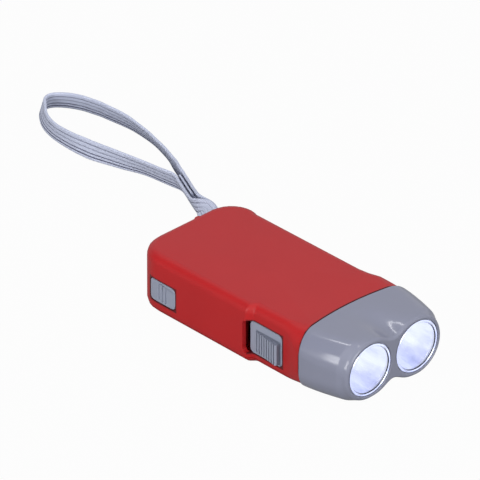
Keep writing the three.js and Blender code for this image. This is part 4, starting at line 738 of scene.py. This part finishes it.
def cut_by(piece, tools):
    """Takes the tools' volumes out of the piece, and the tools out of the scene."""
    for tool in tools:
        modifier = piece.modifiers.new("bore", "BOOLEAN")
        modifier.operation, modifier.solver, modifier.object = "DIFFERENCE", "EXACT", tool
    graph = bpy.context.evaluated_depsgraph_get()
    final = bpy.data.meshes.new_from_object(piece.evaluated_get(graph))
    piece.modifiers.clear()
    piece.data = final
    for tool in tools:
        bpy.data.objects.remove(tool)


def plain_solid(name, grid):
    return add_mesh(name, grid, solid_faces(grid), grey_gloss)


head = plain_solid("head", head_grid())
cut_by(head, [plain_solid(f"bore_{side}", lathe_grid(bore_profile(), side)) for side in (-1, 1)])
head.modifiers.new("join_and_smooth", "NODES").node_group = smoothing
head.modifiers.new("weighted_normals", "WEIGHTED_NORMAL").keep_sharp = True
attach(head, "housing")
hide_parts("head_bezel")
print("head faces:", len(head.data.polygons))

# %% [markdown]
# ## The lock button's spring
# The button stands on a small coil spring, which shortens when the button is pressed.
# The coil is a wire's round section carried along a helix.

# %% Lock spring
COIL_RADIUS, COIL_WIRE, COIL_TURNS = 1.5 * MM, 0.25 * MM, 3


def coil(low, high):
    """A tube round a helix, between the corners of a box: a is the angle round the helix and b round the wire.
    x and z = centre + (radius + wire cos b) times cos a and sin a, and y = rise times a + wire sin b."""
    a = np.linspace(0, 2 * math.pi * COIL_TURNS, 48 * COIL_TURNS)[:, None]
    b = np.linspace(0, 2 * math.pi, 16, endpoint=False)
    reach = COIL_RADIUS + COIL_WIRE * np.cos(b)
    middle = (low + high) / 2
    rise = low[1] + COIL_WIRE + (high[1] - low[1] - 2 * COIL_WIRE) * a / a.max()
    parts = middle[0] + reach * np.cos(a), rise + COIL_WIRE * np.sin(b), middle[2] + reach * np.sin(a)
    return closed_solid("lock_coil", np.stack(parts, axis=-1), steel)


coil_low, coil_high = (np.array(corner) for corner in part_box("lock_spring"))
lock_coil = coil(coil_low, coil_high)
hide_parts("lock_spring")
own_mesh(lock_coil)

# %% [markdown]
# ## The wrist strap
# The strap is a flat woven tape. Both its plies leave a slot at the rear corner, lying flat, twist onto their edge
# and part into a loop that stands on the table. It is limp enough to lean, so each stop has its own lean.
# The stops are in mm from the torch's rear end: x, y and height for the tail, and x, y and lean in degrees for the
# loop.

# %% Route of the strap
TAPE_WIDTH, TAPE_THICK, PLY_SPREAD = 7.2 * MM, 1.1 * MM, 3.0 * MM
NECK_LEAN, TABLE_GAP, SETTLE = math.radians(25), 0.1375 * MM, 14 * MM
TAIL_STATIONS, LOOP_STATIONS, STEPS_PER_STOP = 96, 400, 60
TAIL = [
    [-2.2, 13, 12.2], [-5.6, 15.5, 12.2], [-9, 18.3, 12.1], [-12.7, 21.3, 11.6], [-17.3, 22.9, 10.4],
    [-22.7, 25.9, 8.8], [-28.1, 29.3, 7], [-33.2, 32.4, 5.7], [-38, 35.2, 4.8], [-42, 37.3, 4.3],
]
LOOP = [
    [-45.5, 39.6, 9.9], [-50.9, 42.6, 10], [-55.9, 44.8, 14.1], [-60.9, 47, 20], [-66.6, 48.8, 23.6],
    [-72.8, 50.5, 24], [-79.4, 51.5, 22], [-85.4, 52.1, 18], [-91.1, 51.9, 14.2], [-96.1, 51.4, 12.1],
    [-100.3, 51, 11.1], [-103.7, 50.2, 10.1], [-107, 49.4, 10.5], [-110.7, 47.8, 10.1], [-114, 45.6, 12.1],
    [-117, 41.9, 14.2], [-116.6, 38.3, 14.1], [-112.8, 34.6, 15.8], [-107.5, 30.9, 6.6], [-100.8, 28.7, 0.4],
    [-93.8, 28.1, 3.5], [-88.6, 28.2, 8.4], [-85.1, 28.6, 14.7], [-81.5, 29, 16.7], [-77.1, 29.9, 9.8],
    [-72.8, 31, 3.6], [-68.1, 32.1, -2.3], [-63.9, 33.2, -9.4], [-60, 34.2, -14.4], [-55.7, 34.9, -15.1],
    [-51.2, 35.4, -14.9], [-45.4, 36.2, -12.8],
]


def unit(vectors):
    """Each vector at length 1."""
    return vectors / np.linalg.norm(vectors, axis=-1, keepdims=True)


def lengths_along(line):
    """The distance from the line's start to each of its points."""
    return np.concatenate([[0], np.cumsum(np.linalg.norm(np.diff(line, axis=0), axis=1))])


def route(stops, count):
    """Centripetal Catmull-Rom: a cubic between each two stops, its slopes weighed by the root of their distances."""
    stops = np.asarray(stops, float)
    p = np.vstack([2 * stops[0] - stops[1], stops, 2 * stops[-1] - stops[-2]])
    span = np.sqrt(np.linalg.norm(np.diff(p, axis=0), axis=1))[:, None]
    first, middle, last = span[:-2], span[1:-1], span[2:]
    before, here, there, after = p[:-3], p[1:-2], p[2:-1], p[3:]
    leave = ((here - before) / first - (there - before) / (first + middle)) * middle + there - here
    arrive = ((after - there) / last - (after - here) / (middle + last)) * middle + there - here
    t = np.linspace(0, 1, STEPS_PER_STOP, endpoint=False)[None, :, None]
    here, there, leave, arrive = here[:, None], there[:, None], leave[:, None], arrive[:, None]
    curve = here + t * leave + t * t * (3 * (there - here) - 2 * leave - arrive)
    curve = curve + t ** 3 * (2 * (here - there) + leave + arrive)
    curve = np.vstack([curve.reshape(-1, stops.shape[1]), stops[-1]])
    along = lengths_along(curve)
    even = np.linspace(0, along[-1], count)
    return np.stack([np.interp(even, along, curve[:, k]) for k in range(curve.shape[1])], axis=1)


def tail_frames(count):
    """The tail's middle line, with its direction and the tape's width and face directions.
    The width turns from level at the slot to past upright at the neck."""
    line = route(np.array(TAIL) * MM + [REAR, 0, 0], count)
    along = unit(np.gradient(line, axis=0))
    level = unit(np.cross(along, [0, 0, 1]))
    turn = (math.pi / 2 + NECK_LEAN) * step(np.linspace(0, 1, count)[:, None], 0.12, 0.5)
    width = level * np.cos(turn) + np.cross(level, along) * np.sin(turn)
    return line, width, np.cross(along, width)


def loop_frames(start, end, count):
    """The loop's line from one ply's end to the other's, with its directions. Each stop leans: width = upright
    times cosine minus outside times sine. The lower edge lies on the table, but the ends keep the plies' height."""
    stops = np.array(LOOP) * [1, 1, math.pi / 180] + [REAR / MM, 0, 0]
    ring = route(np.vstack([[*start[:2] / MM, NECK_LEAN], stops, [*end[:2] / MM, -NECK_LEAN]]), count)
    lean = ring[:, 2:].copy()
    ring = ring * [MM, MM, 0]
    rise = TABLE_GAP + np.cos(lean) * TAPE_WIDTH / 2 + np.abs(np.sin(lean)) * TAPE_THICK / 2
    along = lengths_along(ring[:, :2])[:, None]
    lifts = start[2] - rise[0], end[2] - rise[-1]
    rise = rise + lifts[0] * (1 - step(along, 0, SETTLE)) + lifts[1] * (1 - step(along[-1] - along, 0, SETTLE))
    outside = unit(np.cross(np.gradient(ring, axis=0), [0, 0, 1]))
    upright = np.array([0, 0, 1])
    return np.hstack([ring[:, :2], rise]), upright * np.cos(lean) - outside * np.sin(lean)


def eased(values, reach):
    """Each row averaged with its neighbours under a bell curve; the ends go on straight, so they stay in place."""
    weights = np.exp(-np.linspace(-2, 2, 2 * reach + 1) ** 2)
    padded = np.pad(values, ((reach, reach), (0, 0)), mode="reflect", reflect_type="odd")
    return np.stack([np.convolve(column, weights / weights.sum(), "valid") for column in padded.T], axis=1)


line, width, face = tail_frames(TAIL_STATIONS)
out, home = line + face * PLY_SPREAD / 2, line - face * PLY_SPREAD / 2
ring, ring_width = loop_frames(out[-1], home[-1], LOOP_STATIONS)
strap_line = eased(np.vstack([out, ring[1:-1], home[::-1]]), 5)
strap_width = eased(np.vstack([width, ring_width[1:-1], width[::-1]]), 9)
strap_along = unit(np.gradient(strap_line, axis=0))
strap_width = unit(strap_width - strap_along * (strap_width * strap_along).sum(axis=1, keepdims=True))
strap_face = np.cross(strap_along, strap_width)
strap_length = float(lengths_along(strap_line)[-1])
print("strap length:", round(strap_length * 1000, 1), "mm")

# %% [markdown]
# A tape is a section carried along a path, so its mesh is one grid: stations along the route by points of the
# section. The woven face has lengthwise ribs with grooves between them, which the section carries as real relief.
# Each point also gets a place on the tape, in metres along and across, so that the weave follows every bend.

# %% Tape
GROOVES = {0.57: 0.65, 0.14: 0.5, -0.3: 0.85, -0.63: 1.0}
GROOVE_WIDTH, GROOVE_RELIEF, SECTION_POINTS = 0.045, 0.36, 81
WEFT_PITCH, WARP_PITCH = 0.55 * MM, 0.4 * MM


def tape_section(width, thickness):
    """Across and through the tape: two ribbed faces that round into each other at the selvedges.
    Each groove has its place as a share of half the width, and its strength."""
    across = np.linspace(1, -1, SECTION_POINTS)
    places, depths = np.array(list(GROOVES)), np.array(list(GROOVES.values()))
    valley = (depths * np.exp(-(((across[:, None] - places) / GROOVE_WIDTH) ** 2))).sum(axis=1)
    edge = np.sqrt(np.clip(1 - np.abs(across) ** 16, 0, 1))
    height = thickness / 2 * edge * (1 - GROOVE_RELIEF * valley)
    top = np.stack([across * width / 2, height], axis=1)
    return np.vstack([top, top[-2:0:-1] * [1, -1]])


def tape(name, line, width, face, section):
    """The section carried along a line: point = line + across times width + height times face.
    Its map holds the length along the line and the place across, in metres."""
    grid = line[:, None] + width[:, None] * section[:, :1] + face[:, None] * section[:, 1:]
    made = add_mesh(name, grid, [corners[::-1] for corners in solid_faces(grid)], strap_cloth)
    along = lengths_along(line)
    spots = np.stack(np.broadcast_arrays(along[:, None], section[None, :, 0]), axis=-1).reshape(-1, 2)
    corners = np.zeros(len(made.data.loops), dtype=np.int32)
    made.data.loops.foreach_get("vertex_index", corners)
    layer = made.data.uv_layers.new(name="tape_map")
    layer.data.foreach_set("uv", spots[corners].astype(np.float32).ravel())
    made.data.polygons.foreach_set("use_smooth", np.ones(len(made.data.polygons), dtype=bool))
    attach(made, "housing")
    return made


def cloth_finish():
    """Woven tape: cross threads, a little fuzz, and grooves between the ribs, sunk in the bump and darkened with
    painted shade.
    Near the case it is pulled flat, so the grooves' painted shade and bump fade there."""
    finish = Finish("strap_weave")
    along, across = finish.axis("X", "UV"), finish.axis("Y", "UV")
    groove_relief_and_shade = 0.0
    for place, depth in GROOVES.items():
        gap = (across - place * TAPE_WIDTH / 2).abs()
        groove_relief_and_shade = (1 - gap.above(0.1 * MM, 0.34 * MM)) * depth + groove_relief_and_shade
    left = strap_length - along
    pulled_flat = (1 - along.above(12 * MM, 20 * MM)) + (1 - left.above(12 * MM, 20 * MM))
    groove_relief_and_shade = groove_relief_and_shade * (1 - pulled_flat * 0.75)
    weft = (along * (2 * math.pi / WEFT_PITCH)).sin() * 0.5 + 0.5
    warp = (across * (2 * math.pi / WARP_PITCH)).sin() * 0.5 + 0.5
    fuzz = finish.noise(900, 3.0)
    thread = weft * 0.5 + warp * 0.5
    bright = finish.blend(thread * 0.5 + fuzz * 0.3, shade(196, 202, 222), shade(172, 178, 200))
    return finish.surface(
        # painted shade in the grooves between the ribs
        Base_Color=finish.blend(groove_relief_and_shade, bright, shade(70, 72, 100)),
        Roughness=0.85,
        Sheen_Weight=0.15,
        Sheen_Roughness=0.4,
        Normal=finish.bump(thread - groove_relief_and_shade, 0.02 * MM),
    )


strap_cloth = cloth_finish()
tape_form = tape_section(TAPE_WIDTH, TAPE_THICK)
strap = tape("strap", strap_line, strap_width, strap_face, tape_form)
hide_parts("wrist_strap")
print("strap faces:", len(strap.data.polygons))

# %% [markdown]
# The tape's end is folded in between the plies at the neck, where the sewing holds all the layers together.
# Its section is a T: a thick fold below and one thin layer standing up between the plies.
# Inside the case the tape turns round a pin. Both are sections carried along a shorter line.

# %% Neck strip and the turn round the pin
NECK_START, TURN_STATIONS = 56, 40
neck = slice(NECK_START, None)
neck_half = np.array([[3.3, 0.3], [0.9, 0.3], [0.7, 0.9], [-3.2, 0.9]])
neck_form = np.vstack([neck_half, neck_half[::-1] * [1, -1]]) * MM
neck_strip = tape("strap_neck", line[neck], width[neck], face[neck], neck_form)
neck_strip.modifiers.new("join_and_smooth", "NODES").node_group = smoothing

pin_low, pin_high = (np.array(corner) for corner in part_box("strap_pin"))
pin = (pin_low + pin_high) / 2
outward = unit(line[0] - pin)
turns = np.linspace(math.pi / 2, 1.5 * math.pi, TURN_STATIONS)[:, None]
radial = outward * np.cos(turns) + np.array([0, 0, 1]) * np.sin(turns)
reach = outward * float(np.linalg.norm(line[0] - pin))
turned = pin + radial * PLY_SPREAD / 2
fold_line = np.vstack([turned[:1] + reach, turned, turned[-1:] + reach])
fold_face = np.vstack([radial[:1], radial, radial[-1:]])
fold_width = np.broadcast_to(np.cross([0, 0, 1], outward), fold_line.shape)
fold = tape("strap_turn", fold_line, fold_width, fold_face, tape_form)
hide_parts("strap_fold")
print("strap pieces ready")
